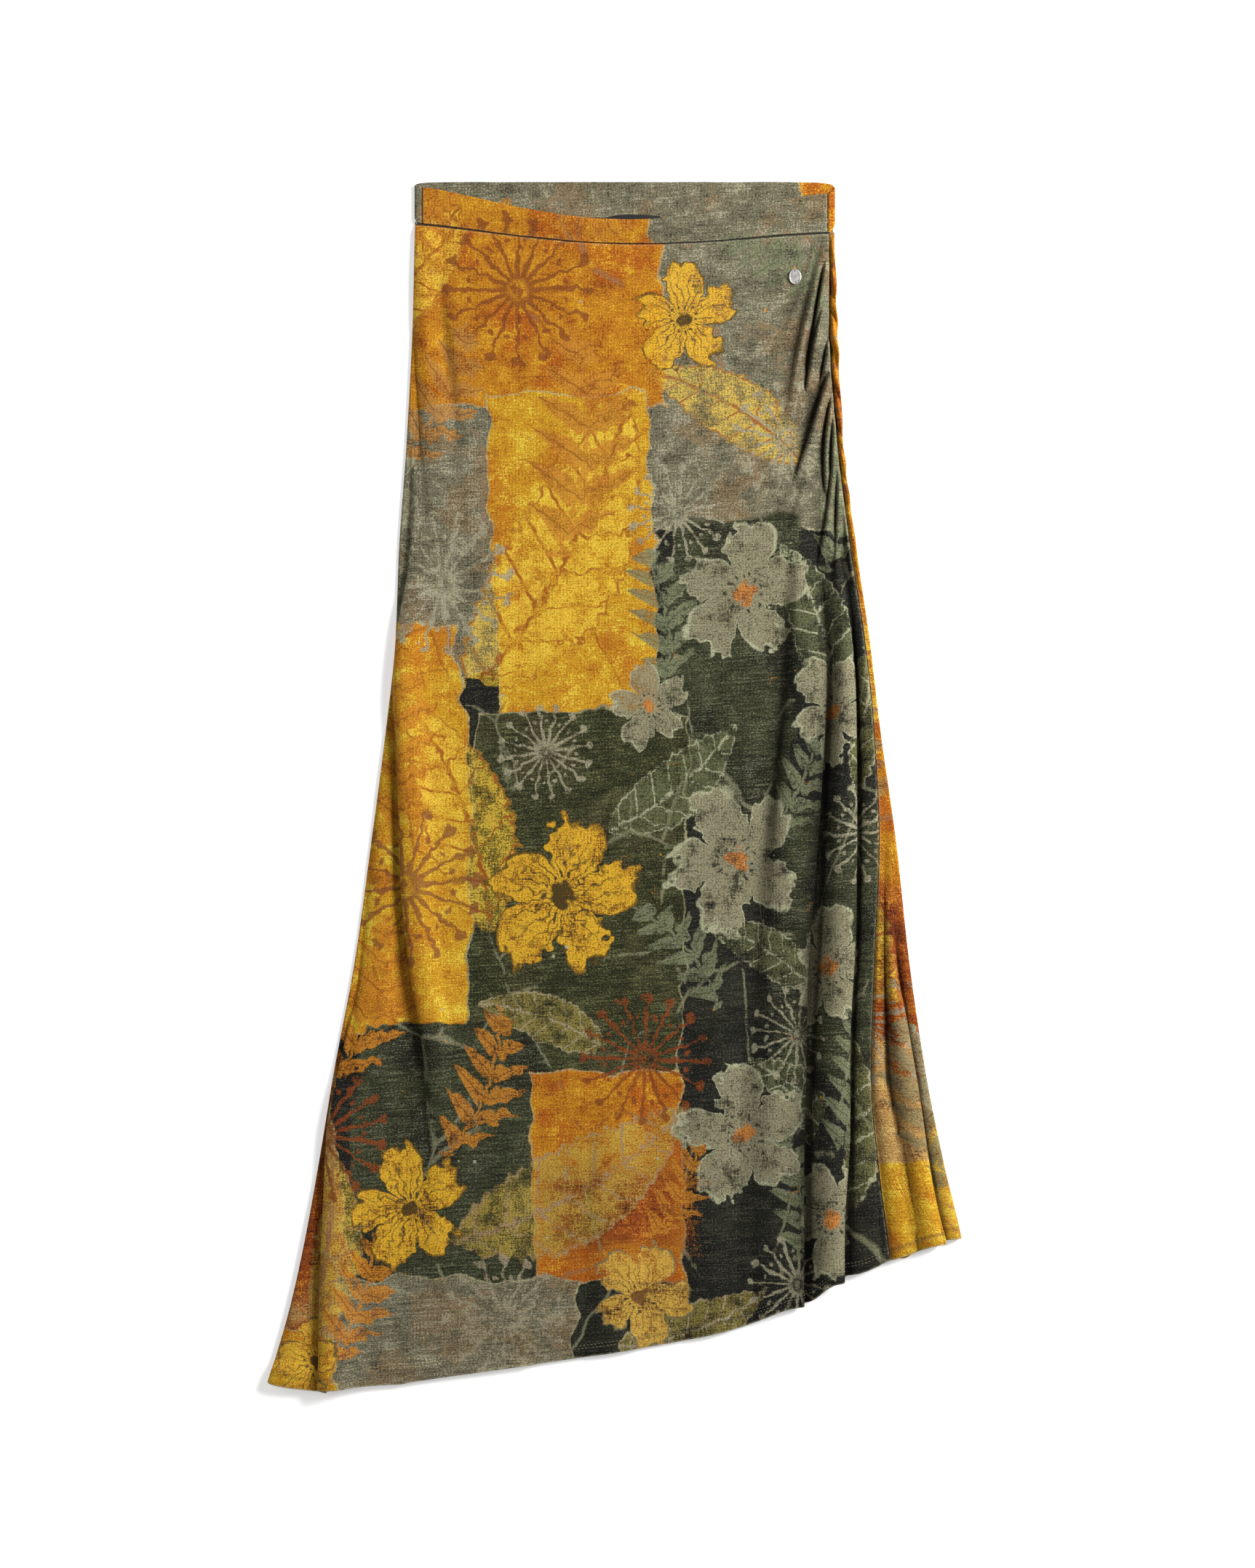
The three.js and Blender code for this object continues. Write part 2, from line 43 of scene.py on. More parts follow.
cloth = {
    "wall": 0.9,            # thickness of one layer as it is drawn
    "hemTurn": 11.5,        # width of cloth turned under at the hem
    "hemStep": 0.35,        # how far the doubled hem stands up
    "rowsInGathers": 110,   # rows over the gathers at the top of the panels
    "rowsBelow": 110,
    "foldSteps": 5,         # columns between two stations of a deep fold
    "gatherShare": 0.32,    # the part of the length that the gathers take
    "edgeShares": (0.0002, 0.0005),             # rows that round a cut edge
    "stepShares": (0.010856, 0.9868, 0.9882),   # rows at the step of the turned hem
    "columnStep": 4.0,      # widest step between columns
}

# The turned hem: its needle lines above the edge, the channel that they pull in and the step of the turn
hemFinish = {
    "needleLines": (7.9, 10.5),
    "channelPlace": 9.1, "channelWidth": 1.1, "channelDepth": 0.16,
    "stepBefore": 0.8, "stepAfter": 0.9,
}

layer = {
    "floorMid": 0.6,        # middle of the back layer above the floor
    "frontMid": 2.1,        # middle of the front layer
    "bandFloorMid": 1.0,
    "bandTopMid": 3.3,
    "seamGap": 0.3,
    "bandSeamGap": 0.5,
}

band = {
    "thickness": 2.0,
    "backSeamY": 492, "backTopY": 523.6,
    "seamLeftY": 487, "seamRightY": 479, "seamSag": 13,
    "topLeftY": 519, "topRightY": 513, "topSag": 25.5,
    "width": 31, "lift": 3.1, "wrap": 5, "swell": 0.22,
    "sagCentreX": 5, "sagHalfWidth": 178, "sagPower": 1.6,
    "turnInset": 1.6, "turnBulge": 0.3, "flatInset": 12,    # where the back band turns round at its ends
    "roundTop": 0.9, "pinchedSeam": 1.4, "endShare": 0.6,
    "printShift": 9,
    "columns": 210, "turnSteps": 5, "flatSteps": 24,
}


def table(columns, rows):
    return {name: np.array(values, float) for name, values in zip(columns.split(), zip(*rows))}


# Side edges of the laid skirt, the side seam that shows on the right, its height and the right edge's height
outline = table("y left right seam seamZ edgeZ", [
    (487, -173, 190.5, 186.0, 2.7, 2.9),
    (404, -175, 193, 185.5, 3.4, 3.2),
    (303, -180, 198, 192.0, 3.2, 3.0),
    (203, -187, 210, 204.5, 2.9, 2.8),
    (127, -190, 221, 216.0, 2.8, 2.8),
    (51, -198, 230, 224.0, 2.9, 3.0),
    (-49, -211, 244, 228.5, 3.2, 3.4),
    (-150, -225, 255, 224.5, 3.8, 4.0),
    (-251, -244, 270, 221.5, 4.6, 4.6),
    (-330, -257, 286, 228.0, 5.6, 5.2),
    (-391, -268, 300.5, 236.0, 6.2, 5.6),
    (-450, -281, 311, 243.0, 6.4, 5.6),
    (-525, -303, 324, 252.0, 6.4, 5.6),
])

hem = table("x y", [
    (-301, -517), (-284, -524), (-258, -523), (-224, -519), (-173, -514), (-85, -502), (16, -487),
    (90, -473), (142, -458), (163, -451), (198, -430), (238, -411), (265, -402), (301, -391),
])


def fold(side, lead, spacing, hemEdge, hemUnder, rows):
    return {
        "side": side, "lead": lead, "spacing": spacing, "hemEdge": hemEdge, "hemUnder": hemUnder,
        "line": table("y x grip hidden height", rows),
    }


# Deep folds: the edge on the way down, how far it has closed, the width hidden under it and its height.
# Side 1 has its left part on top, -1 its right part.
folds = {
    "lowerLeft": fold(-1, 14, 0.5, -521, -524, [
        (487, -168.6, 0, 0, 0), (404, -170.6, 0, 0, 0), (303, -175.6, 0, 0, 0), (203, -182.6, 0, 0, 0),
        (127, -185.2, 0, 0, 0), (51, -191, 0, 0, 0), (-49, -201, 0, 0, 0), (-150, -216, 0, 0, 0),
        (-243, -238, 0.45, 3, 5.4), (-295, -248, 1, 6, 6.2), (-356, -251, 1, 7, 6.4),
        (-440, -255, 1, 8, 7.2), (-522, -256, 1, 8, 7.6),
    ]),
    "upperLeft": fold(-1, 16, 2.2, -515, -517, [
        (487, -150, 0, 0, 0), (380, -161, 0, 0, 0), (295, -169.5, 0.1, 0, 1.4), (230, -174.5, 0.35, 3, 3.6),
        (180, -180, 0.7, 8, 5.4), (127, -188.8, 1, 15, 6.2), (83, -191.5, 1, 14, 6.2), (34, -188, 1, 12, 6.2),
        (-78, -185, 1, 9, 6.4), (-157, -177, 1, 8, 6.4), (-211, -168, 0.75, 4, 6.8),
        (-276, -161, 0.15, 0, 3), (-340, -164, 0, 0, 0), (-515, -180, 0, 0, 0),
    ]),
    "innerRight": fold(1, 16, 2.2, -451, -447.5, [
        (487, 146, 0, 0, 0), (300, 158, 0, 0, 0), (180, 176, 0.1, 0, 2), (95, 183, 0.5, 3, 4.8),
        (-6, 178, 1, 6, 5.0), (-90, 172, 1, 7, 5.0), (-176, 166, 1, 7, 5.0), (-243, 165, 1, 6, 5.0),
        (-338, 163, 1, 5, 5.0), (-451, 163, 1, 5, 5.0),
    ]),
    "outerRight": fold(1, 13, 2.0, -430, -424, [
        (487, 170, 0, 0, 0), (300, 178, 0, 0, 0), (210, 191, 0.05, 0, 2), (146, 203, 0.35, 2, 4.8),
        (80, 208, 0.8, 4, 6), (-6, 209, 1, 6, 6.2), (-117, 208, 1, 8, 6.6), (-226, 203, 1, 10, 7.4),
        (-294, 203, 1, 12, 8.0), (-390, 198, 1, 14, 8.4), (-430, 198, 1, 14, 8.4),
    ]),
    "backFlute": fold(1, 11, 0.9, -396, -393, [
        (487, 188.4, 0, 0, 0), (20, 232, 0, 0, 0), (-73, 239, 0.2, 1, 3), (-142, 243, 0.6, 2, 7),
        (-209, 253, 1, 6, 7.4), (-269, 263, 1, 7, 7.4), (-338, 273, 1, 7, 7.4), (-396, 286, 1, 7, 7.8),
    ]),
}

# Gathers that leave the ruched seam, then soft creases of the front: two ends, sideways bow, height, width
# and how much steeper the right flank is (the left one where it is below zero)
frontGathers = [
    (184, 476, 150, 318, -2, 3.0, 6.0, -0.45),
    (183, 454, 167, 360, 0, 3.4, 4.2, -0.78),
    (180, 414, 166, 342, -1, 3.4, 3.8, -0.78),
    (187, 398, 178, 344, 1, 2.4, 3.2, -0.60),
    (190, 370, 155, 260, 0, 3.2, 3.6, -0.76),
    (184, 357, 168, 295, 0, 2.8, 3.0, -0.74),
    (190, 346, 183, 252, -3.5, 3.0, 3.0, -0.72),
    (191, 340, 188, 274, 0, 2.4, 2.4, -0.66),
    (193, 330, 198, 262, 0, 2.2, 2.6, -0.62),
    (190, 306, 176, 190, 3, 2.0, 3.4, -0.65),
    (194, 290, 190, 176, 1, 1.8, 2.8, -0.60),
    (197, 268, 207, 168, -1, 1.8, 2.8, -0.50),
    (176, 482, 136, 372, 6, 1.0, 5.5, -0.40),
    (170, 300, 138, 190, 5, 1.3, 4.6, -0.50),
]

# Beside each sharp gather the cloth is drawn down into a slit: how far to the left, its width and its depth
slit = {"offset": 2.0, "width": 1.5, "depthShare": 0.6, "sharpest": -0.6, "steep": 0.2, "lowest": -0.4}

frontCreases = [
    (-168, 468, -162, 330, 1, 1.2, 6, 0.30),
    (-176, 300, -178, 186, 3, 1.8, 3.4, -0.50),
    (-186, 120, -178, -40, -3, 0.8, 5.0, 0.2),
    (176, 232, 22, 128, -16, 0.9, 4.5, 0.5),
    (178, 176, 30, 74, -14, 0.9, 4.2, 0.5),
    (176, 122, 60, 30, -12, 0.8, 4.0, 0.5),
    (172, 40, 66, -30, -9, 0.7, 4.2, 0.5),
    (166, -50, 44, -116, -9, 0.7, 4.8, 0.5),
    (-120, 300, -96, 60, 4, 1.0, 15, 0.1),
    (-60, 220, -48, -110, 5, 0.9, 20, 0.1),
    (20, 330, 52, 60, -4, 0.9, 18, 0.1),
    (96, 240, 118, -60, 5, 1.2, 13, 0.2),
    (118, -130, 116, -452, 4, 1.6, 11, 0.2),
    (160, 222, 155, 76, 0, 1.7, 7.5, -0.55),
    (151, 74, 137, -120, -2, 1.6, 8.5, -0.50),
    (133, -150, 131, -330, 1, 1.2, 8.0, -0.40),
    (60, -190, 50, -474, 3, 1.3, 15, 0.1),
    (-20, -220, -34, -488, 4, 1.2, 16, 0.1),
    (-90, -230, -104, -500, -4, 1.3, 14, 0.1),
    (-150, -240, -166, -512, 3, 1.7, 11, -0.3),
    (-202, -330, -214, -516, 2, 1.6, 9, -0.3),
    (-272, -430, -284, -520, 1, 1.0, 4.5, 0.2),
]

# Soft painted shade beside the broad rolls of the front, drawn only into the colour: as above, with a depth
# of shade for the height
frontPaintedShade = [
    (-159, 476, -131, 276, 3, 0.46, 7.5, 0.2),
    (152, 218, 136, -84, 1, 0.44, 5.5, -0.3),
    (-124, 60, -118, -150, -3, 0.20, 10, 0.1),
    (70, -140, 62, -470, 3, 0.22, 11, 0.1),
    (-12, -230, -22, -486, 2, 0.20, 11, 0.1),
]

# Puckers of the narrow strip of the back that shows right of the seam
stripCreases = [
    (186.5, 478, 192, 446, 0, 1.4, 2.2, 0.3),
    (186.5, 458, 194, 398, 1, 2.2, 3.0, 0.5),
    (186.0, 410, 196, 356, 1, 2.4, 2.6, 0.5),
    (187.5, 376, 197, 318, 1, 2.4, 2.8, 0.5),
    (190, 334, 200, 286, 1, 2.0, 2.4, 0.4),
    (193, 300, 206, 228, 1, 1.6, 2.6, 0.4),
    (200, 250, 214, 160, 1, 1.2, 2.6, 0.3),
]


def fluteLines(*rows):
    return [table("y x half height", line) for line in rows]


# Long round flutes: the middle line on the way down, half the width and the height
frontFlutes = fluteLines(
    [
        (190, 160, 10, 0), (95, 163, 15, 2.6), (-6, 155, 19, 3.6), (-90, 148, 21, 3.8),
        (-243, 141, 21, 3.2), (-338, 140, 20, 2.8), (-460, 140, 19, 2.6),
    ],
    [
        (250, 178, 8, 0), (146, 192, 10.5, 2.8), (80, 196, 12, 4.2), (-6, 195, 14, 4.8),
        (-117, 193, 16, 5.0), (-226, 187, 17, 4.8), (-338, 183, 17.5, 4.4), (-460, 182, 17, 4.0),
    ],
    [
        (210, 200, 6, 0), (146, 211, 7, 2.4), (80, 217, 8, 3.8), (-6, 220, 10, 4.6), (-117, 219, 11, 4.4),
        (-226, 214, 11, 4.0), (-338, 213, 13, 3.8), (-440, 216, 16, 3.4),
    ],
    [
        (190, -172, 9, 0), (127, -177, 12, 3.0), (83, -179, 13, 3.8), (34, -176, 14, 3.8),
        (-78, -173, 15, 3.6), (-157, -165, 15, 3.0), (-211, -157, 14, 2.4), (-310, -150, 12, 0),
    ],
    [
        (60, -193, 4, 0), (-49, -198, 11, 2.2), (-150, -202, 17, 2.8), (-251, -208, 22, 3.2),
        (-330, -216, 22, 1.6), (-400, -220, 20, 0),
    ],
    [
        (-230, -226, 9, 0), (-300, -236, 13, 3.0), (-400, -240, 15, 3.6), (-530, -240, 16, 3.8),
    ],
    [
        (-300, -256, 6, 0), (-391, -264, 9, 1.6), (-450, -271, 14, 2.2), (-530, -286, 26, 3.0),
    ],
    [
        (490, -164, 13, 1.6), (400, -160, 14, 2.6), (300, -152, 16, 2.2), (190, -148, 14, 0),
    ],
    [
        (-60, 96, 14, 0), (-180, 92, 20, 1.6), (-330, 86, 22, 2.2), (-480, 84, 20, 2.4),
    ],
    [
        (-140, 8, 16, 0), (-280, 4, 22, 1.4), (-400, 2, 24, 2.0), (-500, 0, 24, 2.2),
    ],
)
stripFlutes = fluteLines(
    [
        (-60, 230, 3, 0), (-150, 228.5, 4.6, 1.4), (-243, 228, 6.5, 2.4), (-301, 236, 10, 3.6),
        (-369, 245.5, 12.5, 4.0), (-410, 250, 13.5, 3.8),
    ],
    [
        (-60, 236, 3, 0), (-142, 238, 5, 2.0), (-209, 244, 9, 3.4), (-269, 251, 12, 4.0),
        (-338, 262, 12.5, 4.2), (-410, 273, 13, 3.8),
    ],
    [
        (-120, 248, 4, 0), (-209, 258, 7, 2.2), (-269, 268, 7, 2.6), (-338, 280, 7.5, 2.8),
        (-410, 294, 8, 2.4),
    ],
    [
        (-20, 238, 5, 0), (-90, 243, 7, 1.6), (-150, 249, 6, 1.4), (-200, 255, 6, 0),
    ],
)

# Soft troughs that show on the side that lies on the floor
underCreases = [
    (-140, 470, -120, 250, 6, 0.42, 9, 0.2), (150, 460, 120, 240, -6, 0.42, 8, 0.2),
    (-60, 300, -90, 20, 5, 0.38, 14, 0.1), (70, 240, 104, -60, -6, 0.4, 12, 0.1),
    (-160, 120, -196, -180, 4, 0.42, 9, 0.2), (170, 80, 208, -220, -5, 0.42, 10, 0.2),
    (-30, -60, -60, -400, 6, 0.4, 15, 0.1), (60, -120, 84, -440, -5, 0.4, 13, 0.1),
    (-150, -200, -196, -500, 5, 0.42, 10, 0.2), (140, -180, 176, -430, 4, 0.42, 11, 0.2),
    (-210, -260, -252, -505, -4, 0.4, 8, 0.2), (214, -160, 252, -380, 4, 0.4, 8, 0.2),
]


def mix(a, b, share):
    return a + (b - a) * share


def along(rows, key, column, place):
    # smooth curve through a table's rows that never runs past a row's value
    x, y = rows[key], rows[column]
    if x[0] > x[-1]:
        x, y = x[::-1], y[::-1]
    rise = np.diff(y) / np.diff(x)
    product = rise[:-1] * rise[1:]
    total = np.where(product > 0, rise[:-1] + rise[1:], 1)
    slope = np.concatenate([rise[:1], np.where(product > 0, 2 * product / total, 0), rise[-1:]])
    place = np.clip(np.asarray(place, float), x[0], x[-1])
    i = np.clip(np.searchsorted(x, place) - 1, 0, len(rise) - 1)
    step = x[i + 1] - x[i]
    t = (place - x[i]) / step
    curve = (2 * t ** 3 - 3 * t ** 2 + 1) * y[i] + (3 * t ** 2 - 2 * t ** 3) * y[i + 1]
    return curve + (t ** 3 - 2 * t ** 2 + t) * step * slope[i] + (t ** 3 - t ** 2) * step * slope[i + 1]


def edgeAt(column, y):
    return along(outline, "y", column, y)


def hemAt(x):
    return along(hem, "x", "y", x)


def smoothStep(low, high, value):
    t = np.clip((value - low) / (high - low), 0, 1)
    return t * t * (3 - 2 * t)


def sagShare(x):
    offset = (x - band["sagCentreX"]) / band["sagHalfWidth"]
    return np.maximum(0, 1 - offset * offset) ** band["sagPower"]


def betweenSides(x, leftValue, rightValue):
    return mix(leftValue, rightValue, (x - outline["left"][0]) / (outline["seam"][0] - outline["left"][0]))


def bandSeamY(x):
    return betweenSides(x, band["seamLeftY"], band["seamRightY"]) - band["seamSag"] * sagShare(x)


def bandTopY(x):
    return betweenSides(x, band["topLeftY"], band["topRightY"]) - band["topSag"] * sagShare(x)


# Gentle unevenness: a seed, the number of waves, the shortest, the longest and how far they are drawn out
waves = {
    "bandEdge": (52, 7, 26, 90, 1.0),
    "backBandEdge": (61, 7, 26, 90, 1.0),
    "bandFace": (51, 9, 14, 60, 8.0),
    "bodyLong": (4, 9, 70, 190, 2.6),
    "bodyShort": (9, 12, 18, 46, 1.8),
    "underBand": (21, 7, 9, 26, 6.0),
    "hemCurl": (33, 6, 60, 160, 9.0),
}
waveHeight = {
    "bandEdge": 0.35, "backBandEdge": 0.3, "bodyLong": 0.45, "bodyShort": 0.10, "underBand": 0.16,
    "hemCurl": 0.9,
}


def bandWave(x):
    return waveHeight["bandEdge"] * softWaves(x, x * 0, *waves["bandEdge"])


def creaseField(creases, x, y):
    height = np.zeros_like(x)
    for topX, topY, endX, endY, bow, rise, width, steep in creases:
        run = np.array([endX - topX, endY - topY], float)
        length = np.hypot(*run)
        run /= length
        t = ((x - topX) * run[0] + (y - topY) * run[1]) / length
        side = (x - topX) * -run[1] + (y - topY) * run[0]
        inside = np.clip(t, 0, 1)
        hump = np.sin(np.pi * inside)
        offset = side - bow * hump
        reach = width * np.where(offset > 0, 1 - steep, 1 + steep)
        height += rise * hump ** 0.6 * np.exp(-((offset / reach) ** 2))
    return height


def slitsBeside(gathers):
    return [(topX - slit["offset"], topY, endX - slit["offset"], endY, bow, -slit["depthShare"] * rise,
             slit["width"], slit["steep"])
            for topX, topY, endX, endY, bow, rise, _, steep in gathers if steep <= slit["sharpest"]]


def fluteField(flutes, x, y):
    height = np.zeros_like(x)
    for line in flutes:
        middle, half, rise = [along(line, "y", name, y) for name in ("x", "half", "height")]
        offset = np.sign(middle) * (x - middle) / half
        folded = smoothStep(120, 150, np.abs(middle)) * smoothStep(-260, -245, middle)
        power = np.where(offset > 0, mix(0.7, 0.5, folded), mix(0.7, 1.15, folded))
        height += panel["fluteGain"] * rise * np.clip(1 - offset ** 2, 0, 1) ** power
    return height


def softWaves(x, y, seed, count, shortest, longest, stretch):
    draw = random.Random(seed)
    total = np.zeros_like(x)
    for _ in range(count):
        length = draw.uniform(shortest, longest)
        turn = draw.uniform(-0.5, 0.5)
        phase = draw.uniform(0, 2 * math.pi)
        total += np.sin(2 * math.pi * (x * math.cos(turn) + y / stretch * math.sin(turn)) / length + phase
                        + 0.8 * np.sin(2 * math.pi * y / (length * stretch) + phase * 1.7))
    return total / count


# Stations of a deep fold from left to right for a fold with its left part on top
foldStations = [
    {"flat": -2, "lift": 1, "folded": "lead", "share": 0},
    {"flat": -1, "lift": 1, "folded": "nose", "share": 0.15},
    {"flat": 0, "lift": 0.46, "folded": "nose", "share": 0.3},
    {"flat": 1, "lift": 0.46, "folded": "tuck", "share": 0.8},
    {"flat": 2, "lift": 0, "folded": "tuck", "share": 1},
]


def foldPlace(shape, station, base):
    def place(y):
        line = {name: along(shape["line"], "y", name, y) for name in ("x", "grip", "hidden", "height")}
        reach = {"lead": -shape["lead"], "nose": 0.6, "tuck": -line["hidden"]}[station["folded"]]
        offset = mix(station["flat"] * shape["spacing"], reach, line["grip"])
        return line["x"] + shape["side"] * offset, base + station["lift"] * line["height"]
    return place


def foldToStations(shape, base):
    made = [{
        "hemY": mix(shape["hemEdge"], shape["hemUnder"], station["share"]),
        "place": foldPlace(shape, station, base),
        "steps": cloth["foldSteps"],
    } for station in foldStations]
    return made if shape["side"] > 0 else made[::-1]


def spreadStations(count, before, after, belly=0.0):
    def placeAt(share):
        def place(y):
            fromX, _ = before["place"](y)
            toX, _ = after["place"](y)
            rise = belly * 4 * share * (1 - share)
            return mix(fromX, toX, share), np.full_like(fromX, layer["frontMid"] + rise)
        return place
    return [{"place": placeAt((i + 1) / (count + 1))} for i in range(count)]


def rowShares():
    # rows lie close together over the gathers, wider below, and twice more at each cut edge to round it
    near = np.linspace(0, cloth["gatherShare"], cloth["rowsInGathers"], endpoint=False)
    below = np.linspace(cloth["gatherShare"], 1, cloth["rowsBelow"])
    edge = np.array(cloth["edgeShares"])
    return np.unique(np.concatenate([near, below, edge, 1 - edge, cloth["stepShares"]]))


def panelGrid(stations, shares, topOf):
    control = np.zeros((len(shares), len(stations), 3))
    top = outline["y"][:1]
    for i, station in enumerate(stations):
        topY = topOf(station, station["place"](top)[0][0])
        if "hemY" in station:
            hemY = station["hemY"]
        else:
            straight = hemAt(station["place"](np.array([topY]))[0])
            hemY = float(hemAt(station["place"](straight)[0])[0])
        hemY += station.get("hemOffset", 0)
        y = mix(topY, hemY, shares)
        x, z = station["place"](y)
        control[:, i] = np.stack([x, y, z], 1)
    return smoothAcross(control, [station.get("steps") for station in stations])


def smoothAcross(control, steps):
    # uniform cubic B-spline across each row, with held ends
    first = 2 * control[:, :1] - control[:, 1:2]
    last = 2 * control[:, -1:] - control[:, -2:-1]
    full = np.concatenate([first, control, last], 1)
    columns = []
    places = []
    for i in range(control.shape[1] - 1):
        span = np.linalg.norm(control[:, i + 1] - control[:, i], axis=1).mean()
        count = steps[i] or max(3, round(span / cloth["columnStep"]))
        for k in range(count):
            t = k / count
            weights = [(1 - t) ** 3, 3 * t ** 3 - 6 * t * t + 4, -3 * t ** 3 + 3 * t * t + 3 * t + 1, t ** 3]
            columns.append(sum(weight / 6 * full[:, i + j] for j, weight in enumerate(weights)))
            places.append(i + t)
    columns.append(control[:, -1])
    places.append(control.shape[1] - 1.0)
    return np.stack(columns, 1), np.array(places)


def normalsOf(grid):
    across = np.empty_like(grid)
    across[:, 1:-1] = grid[:, 2:] - grid[:, :-2]
    across[:, 0] = grid[:, 1] - grid[:, 0]
    across[:, -1] = grid[:, -1] - grid[:, -2]
    down = np.empty_like(grid)
    down[1:-1] = grid[2:] - grid[:-2]
    down[0] = grid[1] - grid[0]
    down[-1] = grid[-1] - grid[-2]
    normal = np.cross(down, across)
    return normal / np.linalg.norm(normal, axis=2, keepdims=True)


def cutAcross(grid, centre):
    # distance along the cloth from the middle of the panel, so that the print runs on through the folds
    step = np.linalg.norm(np.diff(grid[:, :, [0, 2]], axis=1), axis=2)
    run = np.concatenate([np.zeros((len(grid), 1)), np.cumsum(step, 1)], 1)
    return run - run[:, centre:centre + 1] + grid[:, centre:centre + 1, 0]


def shellMesh(name, grid, above, below, attributes):
    # closed wall about a grid of middle points, with the given distances to its two faces
    rows, columns = grid.shape[:2]
    normal = normalsOf(grid)
    upper = grid + normal * above[..., None]
    lower = grid - normal * below[..., None]
    count = rows * columns
    index = np.arange(count).reshape(rows, columns)
    a, b, c, d = index[:-1, :-1], index[1:, :-1], index[1:, 1:], index[:-1, 1:]
    top = np.stack([a, b, c, d], -1).reshape(-1, 4)
    bottom = np.stack([a, d, c, b], -1).reshape(-1, 4) + count
    left = np.stack([index[:-1, 0], index[:-1, 0] + count, index[1:, 0] + count, index[1:, 0]], -1)
    right = np.stack([index[:-1, -1], index[1:, -1], index[1:, -1] + count, index[:-1, -1] + count], -1)
    first = np.stack([index[0, :-1], index[0, 1:], index[0, 1:] + count, index[0, :-1] + count], -1)
    last = np.stack([index[-1, :-1], index[-1, :-1] + count, index[-1, 1:] + count, index[-1, 1:]], -1)
    faces = np.concatenate([top, bottom, left, right, first, last])
    points = np.concatenate([upper.reshape(-1, 3), lower.reshape(-1, 3)]) * mm
    mesh = bpy.data.meshes.new(name)
    mesh.from_pydata(points.tolist(), [], faces.tolist())
    mesh.polygons.foreach_set("use_smooth", [True] * len(mesh.polygons))
    for label, values in attributes.items():
        values = np.asarray(values, np.float32)
        kind, slot = ("FLOAT_VECTOR", "vector") if values.ndim == 2 else ("FLOAT", "value")
        mesh.attributes.new(label, kind, "POINT").data.foreach_set(slot, values.ravel())
    mesh.update()
    return addObject(name, mesh), upper, lower


def addObject(name, data):
    piece = bpy.data.objects.new(name, data)
    bpy.context.scene.collection.objects.link(piece)
    return piece


def bothFaces(values):
    flat = values.reshape(-1, values.shape[-1]) if values.ndim == 3 else values.ravel()
    return np.concatenate([flat, flat])


# The print: blossoms, seed heads, sprays and leaves laid out over patches, in millimetres of the cut cloth.
# Each motif has its place across and up the cloth, its reach, its turn in degrees and its tone from 0 to 1.
frontMotifs = {
    "blossom": [
        (112, 168, 72, 12, 0.05), (196, 66, 58, 60, 0.15), (104, -62, 76, 40, 0.1),
        (206, -156, 62, 10, 0.2), (112, -300, 72, 26, 0.05), (206, -372, 60, 50, 0.15),
        (-44, -96, 84, 8, 0.95), (-178, -366, 66, 30, 0.85), (60, 404, 58, 20, 0.9),
        (-214, 260, 60, 40, 0.2), (24, -440, 56, 66, 0.6), (-280, -500, 50, 20, 0.7),
        (30, 70, 44, 30, 0.15), (270, 210, 60, 15, 0.1),
    ],
    "umbel": [
        (-84, 430, 74, 0, 0.75), (-150, 176, 70, 30, 0.25), (150, 300, 56, 10, 0.3),
        (-184, -86, 78, 50, 0.7), (26, -236, 64, 20, 0.8), (-96, -460, 60, 0, 0.35),
        (160, -214, 48, 40, 0.2), (246, -40, 52, 25, 0.2), (-60, 30, 46, 8, 0.25), (54, 236, 48, 15, 0.2),
        (-256, -300, 66, 35, 0.85), (160, -430, 50, 20, 0.2),
    ],
    "spray": [
        (-24, 296, 104, 86, 0.7), (-150, 332, 74, 60, 0.6), (-192, 40, 96, 84, 0.8),
        (44, 150, 66, 100, 0.1), (158, -8, 60, 60, 0.15), (150, 452, 60, 150, 0.2),
        (62, -140, 60, 130, 0.15), (208, 250, 70, 80, 0.2), (-110, -260, 72, 70, 0.7),
        (-222, -190, 80, 78, 0.8), (162, -350, 60, 100, 0.15), (60, -350, 52, 64, 0.7),
        (-4, 486, 44, 10, 0.7), (-170, 486, 56, 20, 0.75), (-222, -450, 66, 66, 0.8),
        (230, -260, 64, 80, 0.15),
    ],
    "leaf": [
        (-40, 200, 150, 62, 0.85), (-190, 430, 100, 40, 0.9), (100, 330, 80, 150, 0.7),
        (-130, -20, 110, 110, 0.9), (56, 0, 74, 40, 0.2), (180, 140, 80, 110, 0.2),
        (-30, -350, 120, 30, 0.5), (170, -270, 66, 140, 0.2), (-250, -400, 90, 80, 0.6),
        (130, -140, 56, 150, 0.25), (250, -300, 90, 84, 0.3), (-60, -200, 60, 160, 0.4),
        (70, -470, 70, 20, 0.4), (250, 60, 80, 90, 0.3),
    ],
}
